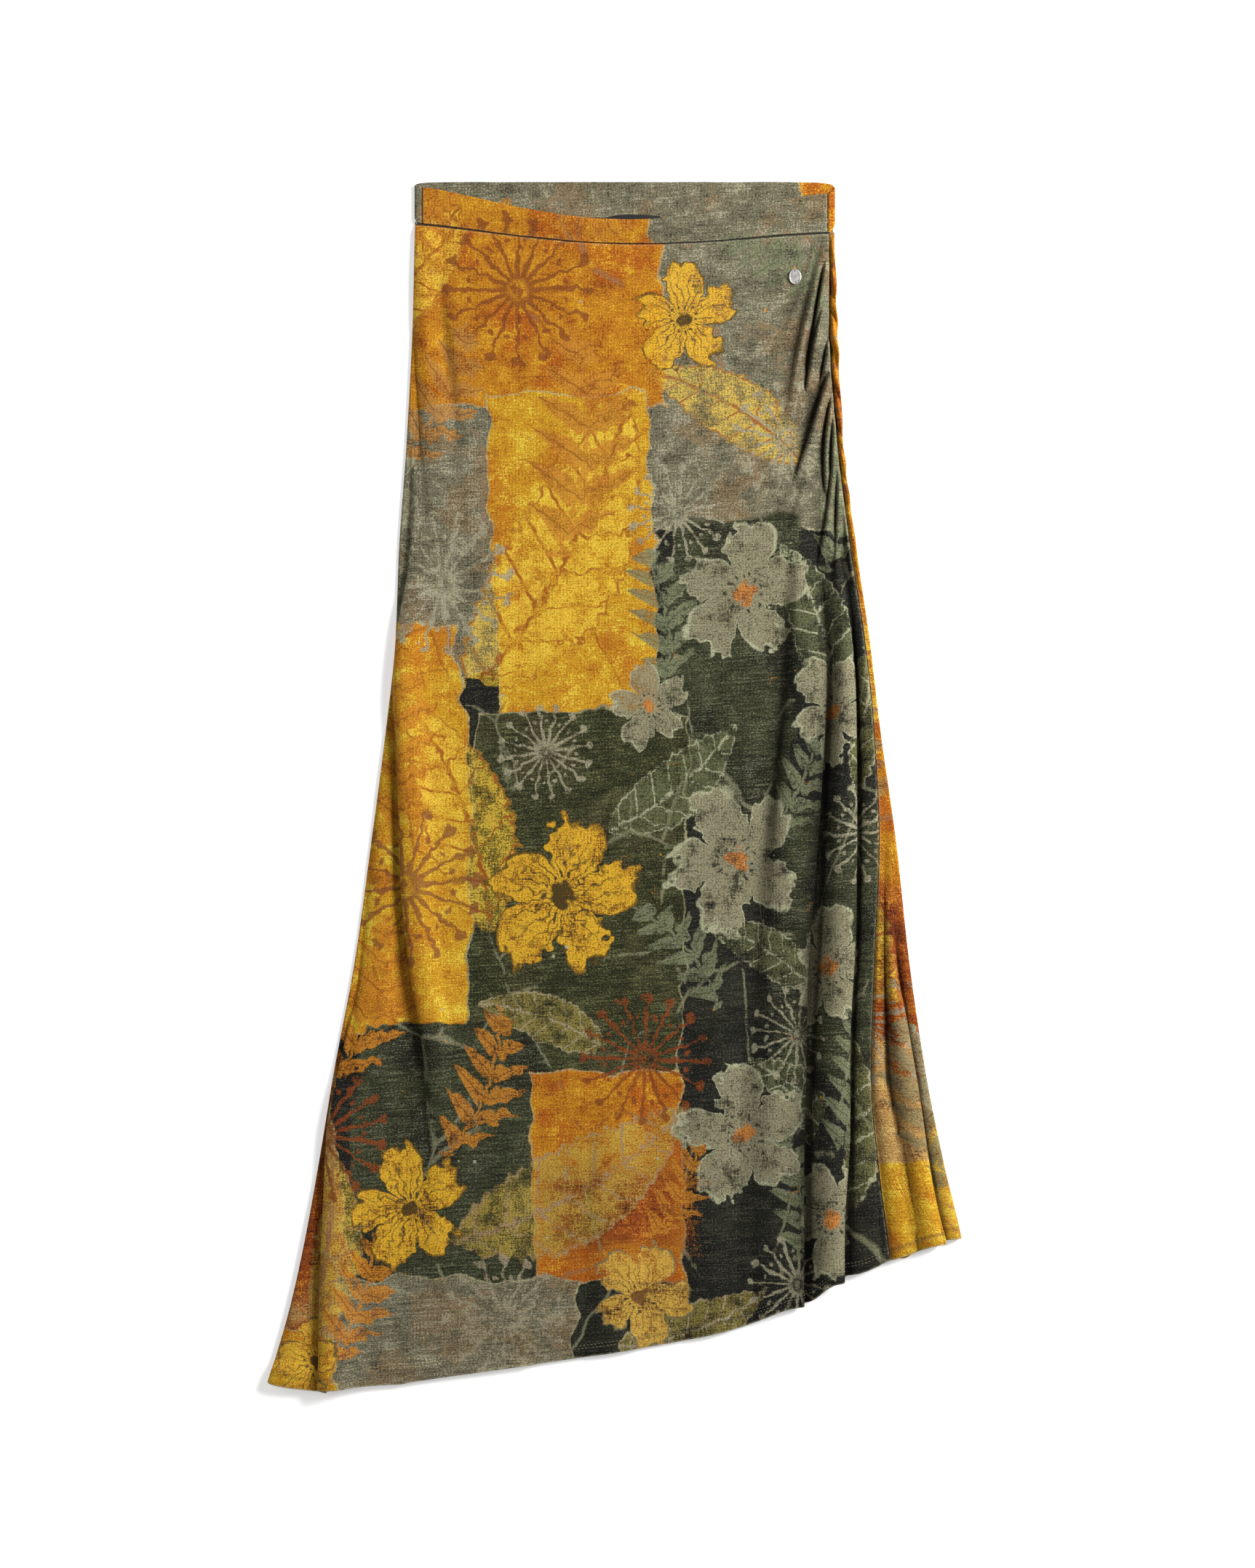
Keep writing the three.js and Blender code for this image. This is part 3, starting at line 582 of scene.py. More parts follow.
backMotifs = {
    "blossom": [
        (-100, 310, 72, 12, 0.2), (70, 370, 62, 50, 0.9), (0, 190, 70, 100, 0.1), (130, 130, 58, 30, 0.8),
        (-140, 80, 74, 80, 0.9), (30, 0, 64, 10, 0.2), (-70, -130, 72, 20, 0.15),
        (110, -100, 60, 65, 0.2), (50, -260, 78, 15, 0.9), (-160, -280, 66, 44, 0.2),
        (-30, -410, 72, 5, 0.8), (140, -380, 62, 70, 0.2), (250, -250, 60, 40, 0.3),
    ],
    "umbel": [
        (-20, 440, 60, 0, 0.5), (160, 270, 60, 30, 0.7), (-170, 200, 64, 10, 0.6), (90, 60, 52, 50, 0.3),
        (-50, 60, 50, 20, 0.2), (190, 20, 60, 0, 0.6), (-180, -80, 62, 40, 0.7), (20, -170, 52, 25, 0.2),
        (-90, -360, 60, 5, 0.3), (90, -450, 56, 15, 0.5), (330, -200, 66, 35, 0.4),
        (230, 320, 60, 8, 0.7),
    ],
    "spray": [
        (-30, 280, 96, 78, 0.75), (150, 420, 90, 120, 0.6), (-80, 150, 84, 96, 0.5),
        (80, 200, 80, 70, 0.55), (-180, 0, 84, 20, 0.1), (-20, -60, 70, 145, 0.15),
        (180, -60, 84, 60, 0.5), (-140, -180, 80, 100, 0.7), (190, -180, 84, 84, 0.4),
        (0, -310, 84, 28, 0.2), (210, -440, 80, 120, 0.1), (-120, -440, 80, 80, 0.8),
        (300, -280, 90, 88, 0.35), (270, 60, 96, 92, 0.5), (250, 420, 84, 85, 0.4),
    ],
    "leaf": [
        (-130, 420, 100, 60, 0.7), (100, 280, 110, 100, 0.8), (-100, 40, 120, 40, 0.75),
        (70, -40, 84, 160, 0.3), (-190, -190, 110, 88, 0.5), (120, -290, 110, 70, 0.6),
        (-60, -470, 90, 24, 0.5), (260, 160, 110, 84, 0.8), (310, -80, 110, 88, 0.7),
        (290, -360, 90, 96, 0.6),
    ],
}


# Where two motifs of a kind meet, the cloth between them is left plain: the width that stays clear and a
# distance beyond every motif's edge, both as shares of the reach
motifMeeting = {"clear": 0.12, "beyond": 1.2}


def motifFields(motifs, across, up):
    # each point's place in its nearest motif, and the distance to it as a share of the motif's reach
    fields = {}
    for kind, rows in motifs.items():
        nearest = np.full(across.shape, 1e9)
        second = np.full(across.shape, 1e9)
        local = np.zeros((*across.shape, 3))
        tone = np.zeros(across.shape)
        for x, y, reach, turn, shade in rows:
            angle = math.radians(turn)
            dx, dy = (across - x) / reach, (up - y) / reach
            distance = np.hypot(dx, dy)
            closer = distance < nearest
            second = np.where(closer, nearest, np.minimum(second, distance))
            nearest = np.where(closer, distance, nearest)
            cosTurn, sinTurn = math.cos(angle), math.sin(angle)
            turned = [dx * cosTurn + dy * sinTurn, dy * cosTurn - dx * sinTurn]
            for k in range(2):
                local[..., k] = np.where(closer, turned[k], local[..., k])
            tone = np.where(closer, shade, tone)
        meeting = second - nearest < motifMeeting["clear"]
        local[..., 2] = np.where(meeting, motifMeeting["beyond"], nearest)
        fields[kind] = bothFaces(local)
        fields[kind + "Tone"] = bothFaces(tone)
    return fields


# How the painted shade in the hollows beside folds is found: the reach and the depth that count, for wide
# folds and for gathers
paintedShadeScales = table("reach depth", [(14, 7.5), (3.4, 3.8)])
paintedShadeSearch = {"margin": 40, "widest": 30, "perColumn": 5, "gain": 2}


def paintedShadeShare(grid):
    # how far each point lies below the top of the cloth beside it, a share that the material turns into
    # painted shade
    columns = grid.shape[1]
    margin, widest = paintedShadeSearch["margin"], paintedShadeSearch["widest"]
    bins = np.arange(grid[..., 0].min() - margin, grid[..., 0].max() + margin, 1.0)
    offsets = np.arange(-widest, widest + 1)
    dense = np.linspace(0, columns - 1, columns * paintedShadeSearch["perColumn"])
    share = np.zeros(grid.shape[:2])
    for i, row in enumerate(grid):
        denseX = np.interp(dense, np.arange(columns), row[:, 0])
        top = np.full(len(bins), layer["frontMid"])
        np.maximum.at(top, (denseX - bins[0]).astype(int), np.interp(dense, np.arange(columns), row[:, 2]))
        for reach, depth in zip(paintedShadeScales["reach"], paintedShadeScales["depth"]):
            weights = np.exp(-((offsets / reach) ** 2))
            beside = np.convolve(top, weights / weights.sum(), "same")
            share[i] = np.maximum(share[i], (np.interp(row[:, 0], bins, beside) - row[:, 2]) / depth)
    return np.clip(share * paintedShadeSearch["gain"], 0, 1)


farAway = 99.0      # distance to an edge that a piece doesn't have


def clothFields(grid, centre, motifs, hemDistance, seamDistance, outerAbove, shift=0):
    across = cutAcross(grid, centre) + shift
    up = grid[..., 1]
    inner = np.zeros(across.shape)
    outer = np.stack([across, up, inner], -1).reshape(-1, 3)
    wrong = np.stack([across, up, inner + 1], -1).reshape(-1, 3)
    return {
        "cut": np.concatenate([outer, wrong] if outerAbove else [wrong, outer]),
        "hemDistance": bothFaces(hemDistance),
        "seamDistance": bothFaces(seamDistance),
        **motifFields(motifs, across, up),
    }


def edgeRounding(rows, columns):
    # how much of the wall is left at the cut rows and at the seam column, which are rounded off
    shape = np.ones((rows, columns))
    shape[[0, -1]] *= 0.35
    shape[[1, -2]] *= 0.75
    shape[:, -1] *= 0.4
    return shape


panel = {
    "cornerRise": 3.2, "sideSeamStep": 3, "edgeFoot": 0.2, "edgeTurn": 2.4,
    "seamLead": 4.5, "stripSeamLead": 1.3,
    "floorEnd": 5, "belly": 1.4, "wallHalf": 0.6,
    "backHemShort": 3, "backHemTail": 4.5,
    "edgeShadeReach": 15, "edgeShadeShare": 0.8,          # painted shade of the front beside its inner fold on the right
    "leftPaintedShade": 0.4, "paintedShadeFrom": -190, "paintedShadeTo": -60,     # painted shade in hollows is fainter towards the left edge
    "fluteGain": 1.5, "gatherGain": 1.7,
    "swell": 2.4, "swellReach": 24,             # the gathered cloth swells beside the drawn seam
    "pucker": 0.55, "puckerReach": 7,
    "bandPullReach": 16, "curlReach": 4.5,
    "puffHeight": 3.4, "puffLength": 27, "puffSlant": 2.6, "puffPower": 0.55,
    "edgeWave": 0.55,
    "middleSpread": 11, "middleSteps": 5,       # stations across the middle of the front, columns between two
    "gatherSteps": {23: 8, 24: 18, 29: 12, 30: 12, 36: 8, 37: 8},       # columns after these stations
    "backFloorShares": [0, 0.18, 0.36, 0.54, 0.72, 0.87, 0.9], "backTailShares": [0.909, 0.926],
    "backFloorEnds": [0.935, 1], "backFloorSteps": 15, "backFloorWide": 6,
    "backCentre": 2.8,                          # the station where the print of the back is centred
}


def hemRaise(distance):
    # the doubled hem stands up a little, with a groove where the two needle lines pull it in
    start, end = cloth["hemTurn"] - hemFinish["stepBefore"], cloth["hemTurn"] + hemFinish["stepAfter"]
    fromChannel = (distance - hemFinish["channelPlace"]) / hemFinish["channelWidth"]
    step = cloth["hemStep"] * (1 - smoothStep(start, end, distance))
    return step - hemFinish["channelDepth"] * np.exp(-fromChannel ** 2)


def frontPanelShape():
    leftMid = layer["frontMid"]

    def leftEdge(inset, z):
        return {
            "place": lambda y: (edgeAt("left", y) + inset, np.full_like(y, z)),
            "topOffset": panel["sideSeamStep"] if z < leftMid else 0,
            "hemOffset": panel["cornerRise"] * (1 if inset < panel["edgeTurn"] else 0.4),
            "steps": 3,
        }

    def rightEdge(inset):
        return {"place": lambda y: (edgeAt("seam", y) - inset, edgeAt("seamZ", y)), "steps": 4}

    start = [
        leftEdge(panel["wallHalf"], panel["edgeFoot"]),
        leftEdge(panel["wallHalf"], leftMid),
        leftEdge(panel["edgeTurn"], leftMid),
    ]
    finish = [rightEdge(panel["seamLead"]), rightEdge(layer["seamGap"] / 2)]
    lowerLeft = foldToStations(folds["lowerLeft"], leftMid)
    upperLeft = foldToStations(folds["upperLeft"], leftMid)
    innerRight = foldToStations(folds["innerRight"], leftMid)
    outerRight = foldToStations(folds["outerRight"], leftMid)
    stations = [
        *start, *lowerLeft,
        *spreadStations(1, lowerLeft[4], upperLeft[0]), *upperLeft,
        *spreadStations(panel["middleSpread"], upperLeft[4], innerRight[0], panel["belly"]), *innerRight,
        *spreadStations(1, innerRight[4], outerRight[0]), *outerRight,
        *spreadStations(1, outerRight[4], finish[0]), *finish,
    ]
    firstMiddle = stations.index(upperLeft[4]) + 1
    for i, station in enumerate(stations):
        if i in panel["gatherSteps"]:
            station["steps"] = panel["gatherSteps"][i]
        elif firstMiddle <= i < firstMiddle + panel["middleSpread"]:
            station["steps"] = panel["middleSteps"]
    middle = firstMiddle + panel["middleSpread"] // 2 + 1

    def topOf(station, x):
        return float(bandSeamY(x)) - layer["bandSeamGap"] + station.get("topOffset", 0)

    grid, places = panelGrid(stations, rowShares(), topOf)
    return grid, int(np.argmin(np.abs(places - middle)))


def buildFrontPanel():
    grid, centre = frontPanelShape()
    x, y = grid[..., 0], grid[..., 1]
    hemDistance = y - y[-1:]
    fromTop = y[:1] - y
    fromSeam = edgeAt("seam", y) - x
    relief = panel["gatherGain"] * creaseField(frontGathers, x, y) + creaseField(frontCreases, x, y)
    besideSeam = np.exp(-((fromSeam / panel["swellReach"]) ** 2))
    swollen = smoothStep(484, 452, y) * smoothStep(205, 300, y) * besideSeam
    relief += panel["swell"] * swollen + panel["gatherGain"] * creaseField(slitsBeside(frontGathers), x, y)
    relief = np.maximum(relief, slit["lowest"])
    for name in ("bodyLong", "bodyShort"):
        relief += waveHeight[name] * (1 + softWaves(x, y, *waves[name]))
    relief += fluteField(frontFlutes, x, y)
    relief *= smoothStep(0, 9, fromTop) * smoothStep(-0.5, 2.2, fromSeam)
    # fine puckers where the seam is drawn in
    drawn = smoothStep(478, 460, y) * smoothStep(215, 330, y)
    drawn *= np.exp(-np.maximum(fromSeam, 0) / panel["puckerReach"])
    relief += panel["pucker"] * drawn * (1 + np.sin(y / 1.9 + 2.2 * np.sin(y / 13) - x / 3.2))
    # small gathers under the waistband
    pull = np.exp(-fromTop / panel["bandPullReach"]) * smoothStep(0, 3, fromTop)
    relief += waveHeight["underBand"] * pull * (1 + softWaves(x, y, *waves["underBand"]))
    grid[..., 2] += relief
    curl = smoothStep(-0.2, 1.0, softWaves(x, y, *waves["hemCurl"]) + 0.3)
    grid[..., 2] += waveHeight["hemCurl"] * curl * np.exp(-hemDistance / panel["curlReach"])
    half = cloth["wall"] / 2
    rounding = edgeRounding(*x.shape)
    above = (half + hemRaise(hemDistance)) * rounding
    below = half * rounding
    fields = clothFields(grid, centre, frontMotifs, hemDistance, np.minimum(fromTop, np.abs(fromSeam)), True)
    # painted shade: points lying below the cloth beside them get a darker colour, fainter to the left, plus
    # soft painted shade beside the broad rolls
    faint = mix(panel["leftPaintedShade"], 1, smoothStep(panel["paintedShadeFrom"], panel["paintedShadeTo"], x))
    paintedFoldShade = paintedShadeShare(grid) * faint + creaseField(frontPaintedShade, x, y)
    # painted shade darkens the middle of the front towards the edge of its inner fold on the right
    inner = folds["innerRight"]["line"]
    fromFold = x - along(inner, "y", "x", y)
    foldEdgeShade = np.exp(fromFold / panel["edgeShadeReach"]) * (fromFold < 0.3) * along(inner, "y", "grip", y)
    foldEdgeShade = panel["edgeShadeShare"] * np.minimum(foldEdgeShade, 1)
    fields["paintedFoldShade"] = bothFaces(np.clip(np.maximum(paintedFoldShade, foldEdgeShade), 0, 1))
    piece, upper, _ = shellMesh("frontPanel", grid, above, below, fields)
    print("front panel", grid.shape, "across the cut", cutSpan(grid, centre))
    return piece, upper


def cutSpan(grid, centre):
    run = cutAcross(grid, centre)
    width = run[:, -1] - run[:, 0]
    height = grid[..., 1].max() - grid[..., 1].min()
    area = float(np.abs(np.sum((width[1:] + width[:-1]) / 2 * np.diff(grid[:, centre, 1]))))
    return round(float(width.max()), 1), round(float(height), 1), round(area / 1e6, 4)


def backPanelShape():
    def floorStation(share, offset=panel["backHemShort"]):
        def place(y):
            left = edgeAt("left", y) + 2 * panel["wallHalf"] + layer["seamGap"]
            right = edgeAt("right", y) - panel["floorEnd"]
            return mix(left, right, share), np.full_like(y, layer["floorMid"])
        return {"place": place, "hemOffset": offset, "onFloor": True}

    def bend(inset, height):
        def place(y):
            return edgeAt("right", y) - inset, mix(layer["floorMid"], edgeAt("edgeZ", y), height)
        return {"place": place, "steps": 4}

    def seamSide(inset):
        return {"place": lambda y: (edgeAt("seam", y) + inset, edgeAt("seamZ", y)), "steps": 4}

    bendEnd = bend(panel["edgeTurn"], 1)
    seamFlat = seamSide(panel["stripSeamLead"])

    def stripStation(share, folded, hemY=None):
        # where the strip on top is still narrow its stations lie evenly between the edge and the seam
        def place(y):
            edgeX, edgeZ = bendEnd["place"](y)
            seamX, seamZ = seamFlat["place"](y)
            foldedX, foldedZ = folded(y)
            grip = along(folds["backFlute"]["line"], "y", "grip", y)
            return mix(mix(edgeX, seamX, share), foldedX, grip), mix(mix(edgeZ, seamZ, share), foldedZ, grip)
        station = {"place": place, "steps": 6}
        if hemY is not None:
            station["hemY"] = hemY
        return station

    shape = folds["backFlute"]
    flute = [
        stripStation(1 - (i + 2) / 7, foldPlace(shape, station, layer["frontMid"]),
                     mix(shape["hemEdge"], shape["hemUnder"], station["share"]))
        for i, station in enumerate(foldStations)
    ][::-1]

    def valleyPlace(y):
        crestX, _ = foldPlace(shape, foldStations[0], layer["frontMid"])(y)
        return mix(edgeAt("seam", y), crestX, 0.5), mix(edgeAt("seamZ", y), layer["frontMid"], 0.7)

    floor = [floorStation(share) for share in panel["backFloorShares"]]
    floor += [floorStation(share, -panel["backHemTail"]) for share in panel["backTailShares"]]
    floor += [floorStation(share) for share in panel["backFloorEnds"]]
    floor[0]["hemOffset"] += panel["cornerRise"]
    for station in floor[:panel["backFloorWide"]]:
        station["steps"] = panel["backFloorSteps"]
    stations = [
        *floor, bend(panel["wallHalf"], 0), bend(panel["wallHalf"], 1), bendEnd,
        *flute, stripStation(6 / 7, valleyPlace), seamFlat, seamSide(layer["seamGap"] / 2),
    ]

    def topOf(station, x):
        return (band["backSeamY"] if station.get("onFloor") else float(bandSeamY(x))) - layer["bandSeamGap"]

    grid, places = panelGrid(stations, rowShares(), topOf)
    return grid, int(np.argmin(np.abs(places - panel["backCentre"]))), places > len(floor) + 1


def buildBackPanel():
    grid, centre, onTop = backPanelShape()
    x, y = grid[..., 0], grid[..., 1]
    hemDistance = y - y[-1:]
    fromTop = y[:1] - y
    fromSeam = np.where(onTop, x - edgeAt("seam", y), 60)
    fade = smoothStep(0, 6, fromTop) * smoothStep(-0.5, 3, fromSeam)
    strip = panel["gatherGain"] * creaseField(stripCreases, x, y) + fluteField(stripFlutes, x, y)
    drawn = smoothStep(484, 476, y) * smoothStep(190, 300, y)
    puffPlace = y + panel["puffSlant"] * fromSeam + 7 * np.sin(y / 23) + 4 * np.sin(y / 9.5)
    puffs = np.abs(np.sin(math.pi * puffPlace / panel["puffLength"])) ** panel["puffPower"]
    strip += panel["puffHeight"] * drawn * puffs
    under = creaseField(underCreases, x, y)
    atEdge = smoothStep(12, 2, edgeAt("right", y) - x)
    grid[..., 2] += np.where(onTop, strip * fade, under * (1 - atEdge) * smoothStep(0, 14, fromTop))
    # the drawn seam makes the side edge wavy beside the gathers
    wavy = smoothStep(486, 470, y) * smoothStep(150, 300, y) * smoothStep(14, 2, edgeAt("right", y) - x)
    wavy = np.where(onTop | (atEdge > 0), wavy, 0)
    grid[..., 0] += panel["edgeWave"] * wavy * np.sin(y / 6.3 + 1.5 * np.sin(y / 21))
    half = cloth["wall"] / 2
    rounding = edgeRounding(*x.shape)
    above = half * rounding
    below = (half + np.where(onTop, hemRaise(hemDistance), 0)) * rounding
    seamDistance = np.minimum(fromTop, np.abs(fromSeam))
    fields = clothFields(grid, centre, backMotifs, hemDistance, seamDistance, False)
    # painted shade in the hollows of the strip on top, none where the back lies on the floor
    fields["paintedFoldShade"] = bothFaces(np.where(onTop, paintedShadeShare(grid), 0))
    piece, _, lower = shellMesh("backPanel", grid, above, below, fields)
    print("back panel", grid.shape, "across the cut", cutSpan(grid, centre))
    return piece, lower, onTop


bandRows = np.array([0, 0.012, 0.035, 0.07, 0.13, 0.2, 0.28, 0.36, 0.44, 0.52, 0.6, 0.68, 0.76, 0.84,
                     0.9, 0.945, 0.97, 0.988, 1])


def bandRounding(shares):
    # a doubled band is round along its folded top edge and pinched in at its seam
    fromTop = (1 - shares) * band["width"]
    fromSeam = shares * band["width"]
    top = np.sqrt(np.clip(1 - (1 - np.clip(fromTop / band["roundTop"], 0, 1)) ** 2, 0.02, 1))
    seam = np.sqrt(np.clip(1 - (1 - np.clip(fromSeam / band["pinchedSeam"], 0, 1)) ** 2, 0.05, 1))
    return top * seam


def buildFrontBand():
    inset = band["thickness"] / 2 + band["wrap"] + layer["seamGap"]
    left = outline["left"][0] + inset
    right = outline["right"][0] - inset
    shares = bandRows[::-1]
    x = np.tile(np.linspace(left, right, band["columns"]), (len(shares), 1))
    share = np.tile(shares[:, None], (1, x.shape[1]))
    y = mix(bandSeamY(x), bandTopY(x), share)
    rise = smoothStep(0.05, 0.95, share) * np.where(share > 0.9, 1 - 2 * (share - 0.9), 1)
    z = layer["bandTopMid"] + band["lift"] * rise * sagShare(x)
    swell = 4 * share * (1 - share)
    z = z + band["swell"] * swell * (1 + softWaves(x, y, *waves["bandFace"]))
    y = y + bandWave(x)
    grid = np.stack([x, y, z], -1)
    half = band["thickness"] / 2 * bandRounding(share)
    half[:, [0, -1]] *= band["endShare"]
    seamDistance = np.minimum(share * band["width"], np.minimum(x - left, right - x))
    fields = clothFields(grid, band["columns"] // 2, frontMotifs, np.full(x.shape, farAway), seamDistance,
                         True, band["printShift"])
    piece, upper, _ = shellMesh("frontBand", grid, half, half, fields)
    print("front band", grid.shape)
    return piece, upper


def buildBackBand():
    left = outline["left"][0] + band["thickness"] / 2
    right = outline["right"][0] - band["thickness"] / 2
    bottom, top = layer["bandFloorMid"], layer["bandTopMid"]
    flatTop, flatSeam = band["backTopY"], band["backSeamY"]
    flatLeft, flatRight = left + band["flatInset"], right - band["flatInset"]
    inset, bulge = band["turnInset"], band["turnBulge"]
    # path round the band from its left end on the front, under the skirt, to its right end
    path = [
        (left + band["wrap"], top, band["topLeftY"], band["seamLeftY"]),
        (left + inset, top, 520, band["seamLeftY"]),
        (left - bulge, mix(bottom, top, 0.7), 520.6, 490.2),
        (left - bulge, mix(bottom, top, 0.3), 521.2, 491.6),
        (left + inset, bottom, 522.4, flatSeam),
        *[(mix(flatLeft, flatRight, i / 7), bottom, flatTop, flatSeam) for i in range(8)],
        (right - inset, bottom, 521.5, flatSeam),
        (right + bulge, mix(bottom, top, 0.3), 519.8, 488.5),
        (right + bulge, mix(bottom, top, 0.7), 517.5, 484),
        (right - inset, top, 515, band["seamRightY"] + 0.5),
        (right - band["wrap"], top, band["topRightY"], band["seamRightY"]),
    ]
    control = np.zeros((len(bandRows), len(path), 3))
    for i, (x, z, topY, seamY) in enumerate(path):
        control[:, i] = np.stack([np.full(len(bandRows), x), mix(seamY, topY, bandRows),
                                  np.full(len(bandRows), z)], 1)
    steps = [band["turnSteps"]] * 5 + [band["flatSteps"]] * 7 + [band["turnSteps"]] * 5
    grid, places = smoothAcross(control, steps)
    x, y = grid[..., 0], grid[..., 1]
    share = np.tile(bandRows[:, None], (1, x.shape[1]))
    onFloor = ((places > 5) & (places < 12)).astype(float)
    edgeWave = waveHeight["backBandEdge"] * softWaves(x, y * 0, *waves["backBandEdge"])
    grid[..., 1] += onFloor * edgeWave * smoothStep(0.3, 1, share)
    half = band["thickness"] / 2 * bandRounding(share)
    half[:, [0, -1]] *= band["endShare"]
    centre = int(np.argmin(np.abs(places - len(path) / 2 + 0.5)))
    seamDistance = np.minimum(share * band["width"], np.where(onFloor > 0, farAway, 3.0))
    fields = clothFields(grid, centre, backMotifs, np.full(x.shape, farAway), seamDistance, False)
    # both faces of the doubled band show the right side of the cloth
    fields["cut"][:, 2] = 0
    piece, _, _ = shellMesh("backBand", grid, half, half, fields)
    print("back band", grid.shape)
    return piece


# Shader maths: a wire is a socket that can be added, multiplied and compared like a number
class Wire:
    def __init__(self, sheet, socket):
        self.sheet = sheet
        self.socket = socket

    def maths(self, operation, *values):
        return self.sheet.node("ShaderNodeMath", {"operation": operation}, dict(enumerate(values)))

    def __add__(self, other):
        return self.maths("ADD", self, other)

    def __sub__(self, other):
        return self.maths("SUBTRACT", self, other)

    def __rsub__(self, other):
        return self.maths("SUBTRACT", other, self)

    def __mul__(self, other):
        return self.maths("MULTIPLY", self, other)

    def __truediv__(self, other):
        return self.maths("DIVIDE", self, other)

    def __rtruediv__(self, other):
        return self.maths("DIVIDE", other, self)

    def __pow__(self, other):
        return self.maths("POWER", self, other)

    def __abs__(self):
        return self.maths("ABSOLUTE", self)

    __radd__ = __add__
    __rmul__ = __mul__

    def least(self, other):
        return self.maths("MINIMUM", self, other)

    def most(self, other):
        return self.maths("MAXIMUM", self, other)

    def between(self, low, high):
        # 0 at low, 1 at high, smooth in between
        settings = {"interpolation_type": "SMOOTHSTEP"}
        values = {"Value": self, "From Min": low, "From Max": high}
        return self.sheet.node("ShaderNodeMapRange", settings, values)

    def out(self, name):
        return Wire(self.sheet, self.socket.node.outputs[name])


class MaterialSheet:
    def __init__(self, name):
        self.material = bpy.data.materials.new(name)
        self.material.use_nodes = True
        self.tree = self.material.node_tree
        self.tree.nodes.clear()

    def node(self, kind, settings=None, inputs=None, output=0):
        node = self.tree.nodes.new(kind)
        for key, value in (settings or {}).items():
            setattr(node, key, value)
        for key, value in (inputs or {}).items():
            socket = node.inputs[key]
            if isinstance(value, Wire):
                self.tree.links.new(value.socket, socket)
            else:
                socket.default_value = value
        return Wire(self, node.outputs[output])

    def mixColour(self, share, first, second, blend="MIX"):
        settings = {"data_type": "RGBA", "blend_type": blend, "clamp_factor": True}
        return self.node("ShaderNodeMix", settings, {0: share, 6: first, 7: second}, 2)

    def combine(self, x, y, z=0.0):
        return self.node("ShaderNodeCombineXYZ", {}, {0: x, 1: y, 2: z})

    def noise(self, vector, scale, detail, roughness):
        values = {"Vector": vector, "Scale": scale, "Detail": detail, "Roughness": roughness}
        return self.node("ShaderNodeTexNoise", {"noise_dimensions": "3D"}, values)

    def attribute(self, name, output="Fac"):
        return self.node("ShaderNodeAttribute", {"attribute_name": name}, output=output)

    def parts(self, vector):
        return self.node("ShaderNodeSeparateXYZ", {}, {0: vector})

    def onObject(self):
        return self.node("ShaderNodeTexCoord", output="Object")

    def bump(self, strength, distance, height):
        return self.node("ShaderNodeBump", {}, {"Strength": strength, "Distance": distance, "Height": height})

    def finish(self, values):
        shader = self.node("ShaderNodeBsdfPrincipled", {}, values)
        out = self.tree.nodes.new("ShaderNodeOutputMaterial")
        self.tree.links.new(shader.socket, out.inputs["Surface"])
        return self.material


def tone(code):
    # linear colour from a six-figure screen colour
    parts = [int(code[i:i + 2], 16) / 255 for i in (0, 2, 4)]
    return (*[p / 12.92 if p <= 0.04045 else ((p + 0.055) / 1.055) ** 2.4 for p in parts], 1.0)


inks = {
    "ochre": ("b37214", "8b430e", "cf9722", "a5520f"),
    "gold": ("c08c1b", "a36010", "dabb3a", "b36e14"),
    "rust": ("8a3e10", "421b0c", "bd7624", "61260a"),
    "sand": ("a87f46", "60391c", "cbaa68", "964816"),
    "stone": ("6a6550", "39362b", "9c967d", "796548"),
    "olive": ("2f321f", "11110c", "5e6049", "191914"),
    "moss": ("2a2c16", "11110b", "5e603e", "3d3822"),
    "charcoal": ("121213", "050506", "38382f", "1f2118"),
}

# Patches of the print: left, right, bottom and top edges on the cut cloth, lean, ink, how streaky it is and
# how softly its edges fade
frontPatches = [
    (-500, 500, -700, 700, 0.00, "charcoal", 0.85, 1.0),
    (-30, 500, 222, 700, 0.05, "stone", 0.5, 0.7),
    (-500, -80, 96, 380, -0.06, "stone", 0.5, 0.7),
    (-500, 44, 326, 700, -0.04, "ochre", 0.2, 0.6),
    (-98, 42, 40, 340, -0.05, "gold", 0.15, 0.7),
    (36, 150, -24, 232, 0.04, "olive", 0.85, 2.5),
    (-500, -108, -214, 142, -0.08, "gold", 0.15, 0.7),
    (-130, 56, -256, 66, 0.03, "moss", 0.85, 0.7),
    (140, 600, -250, -20, 0.02, "olive", 0.85, 9.0),
    (-500, -198, -600, -96, -0.16, "sand", 0.4, 0.9),
    (-500, -244, -440, -140, -0.16, "rust", 0.4, 12.0),
    (-230, -66, -430, -206, 0.02, "olive", 0.85, 1.2),
    (-70, 62, -428, -248, -0.03, "ochre", 0.25, 0.8),
    (-60, 58, -400, -330, 0.02, "rust", 0.4, 12.0),
    (-250, -40, -600, -424, 0.05, "stone", 0.7, 0.7),
    (-500, -244, -600, -470, 0.02, "gold", 0.3, 0.7),
]
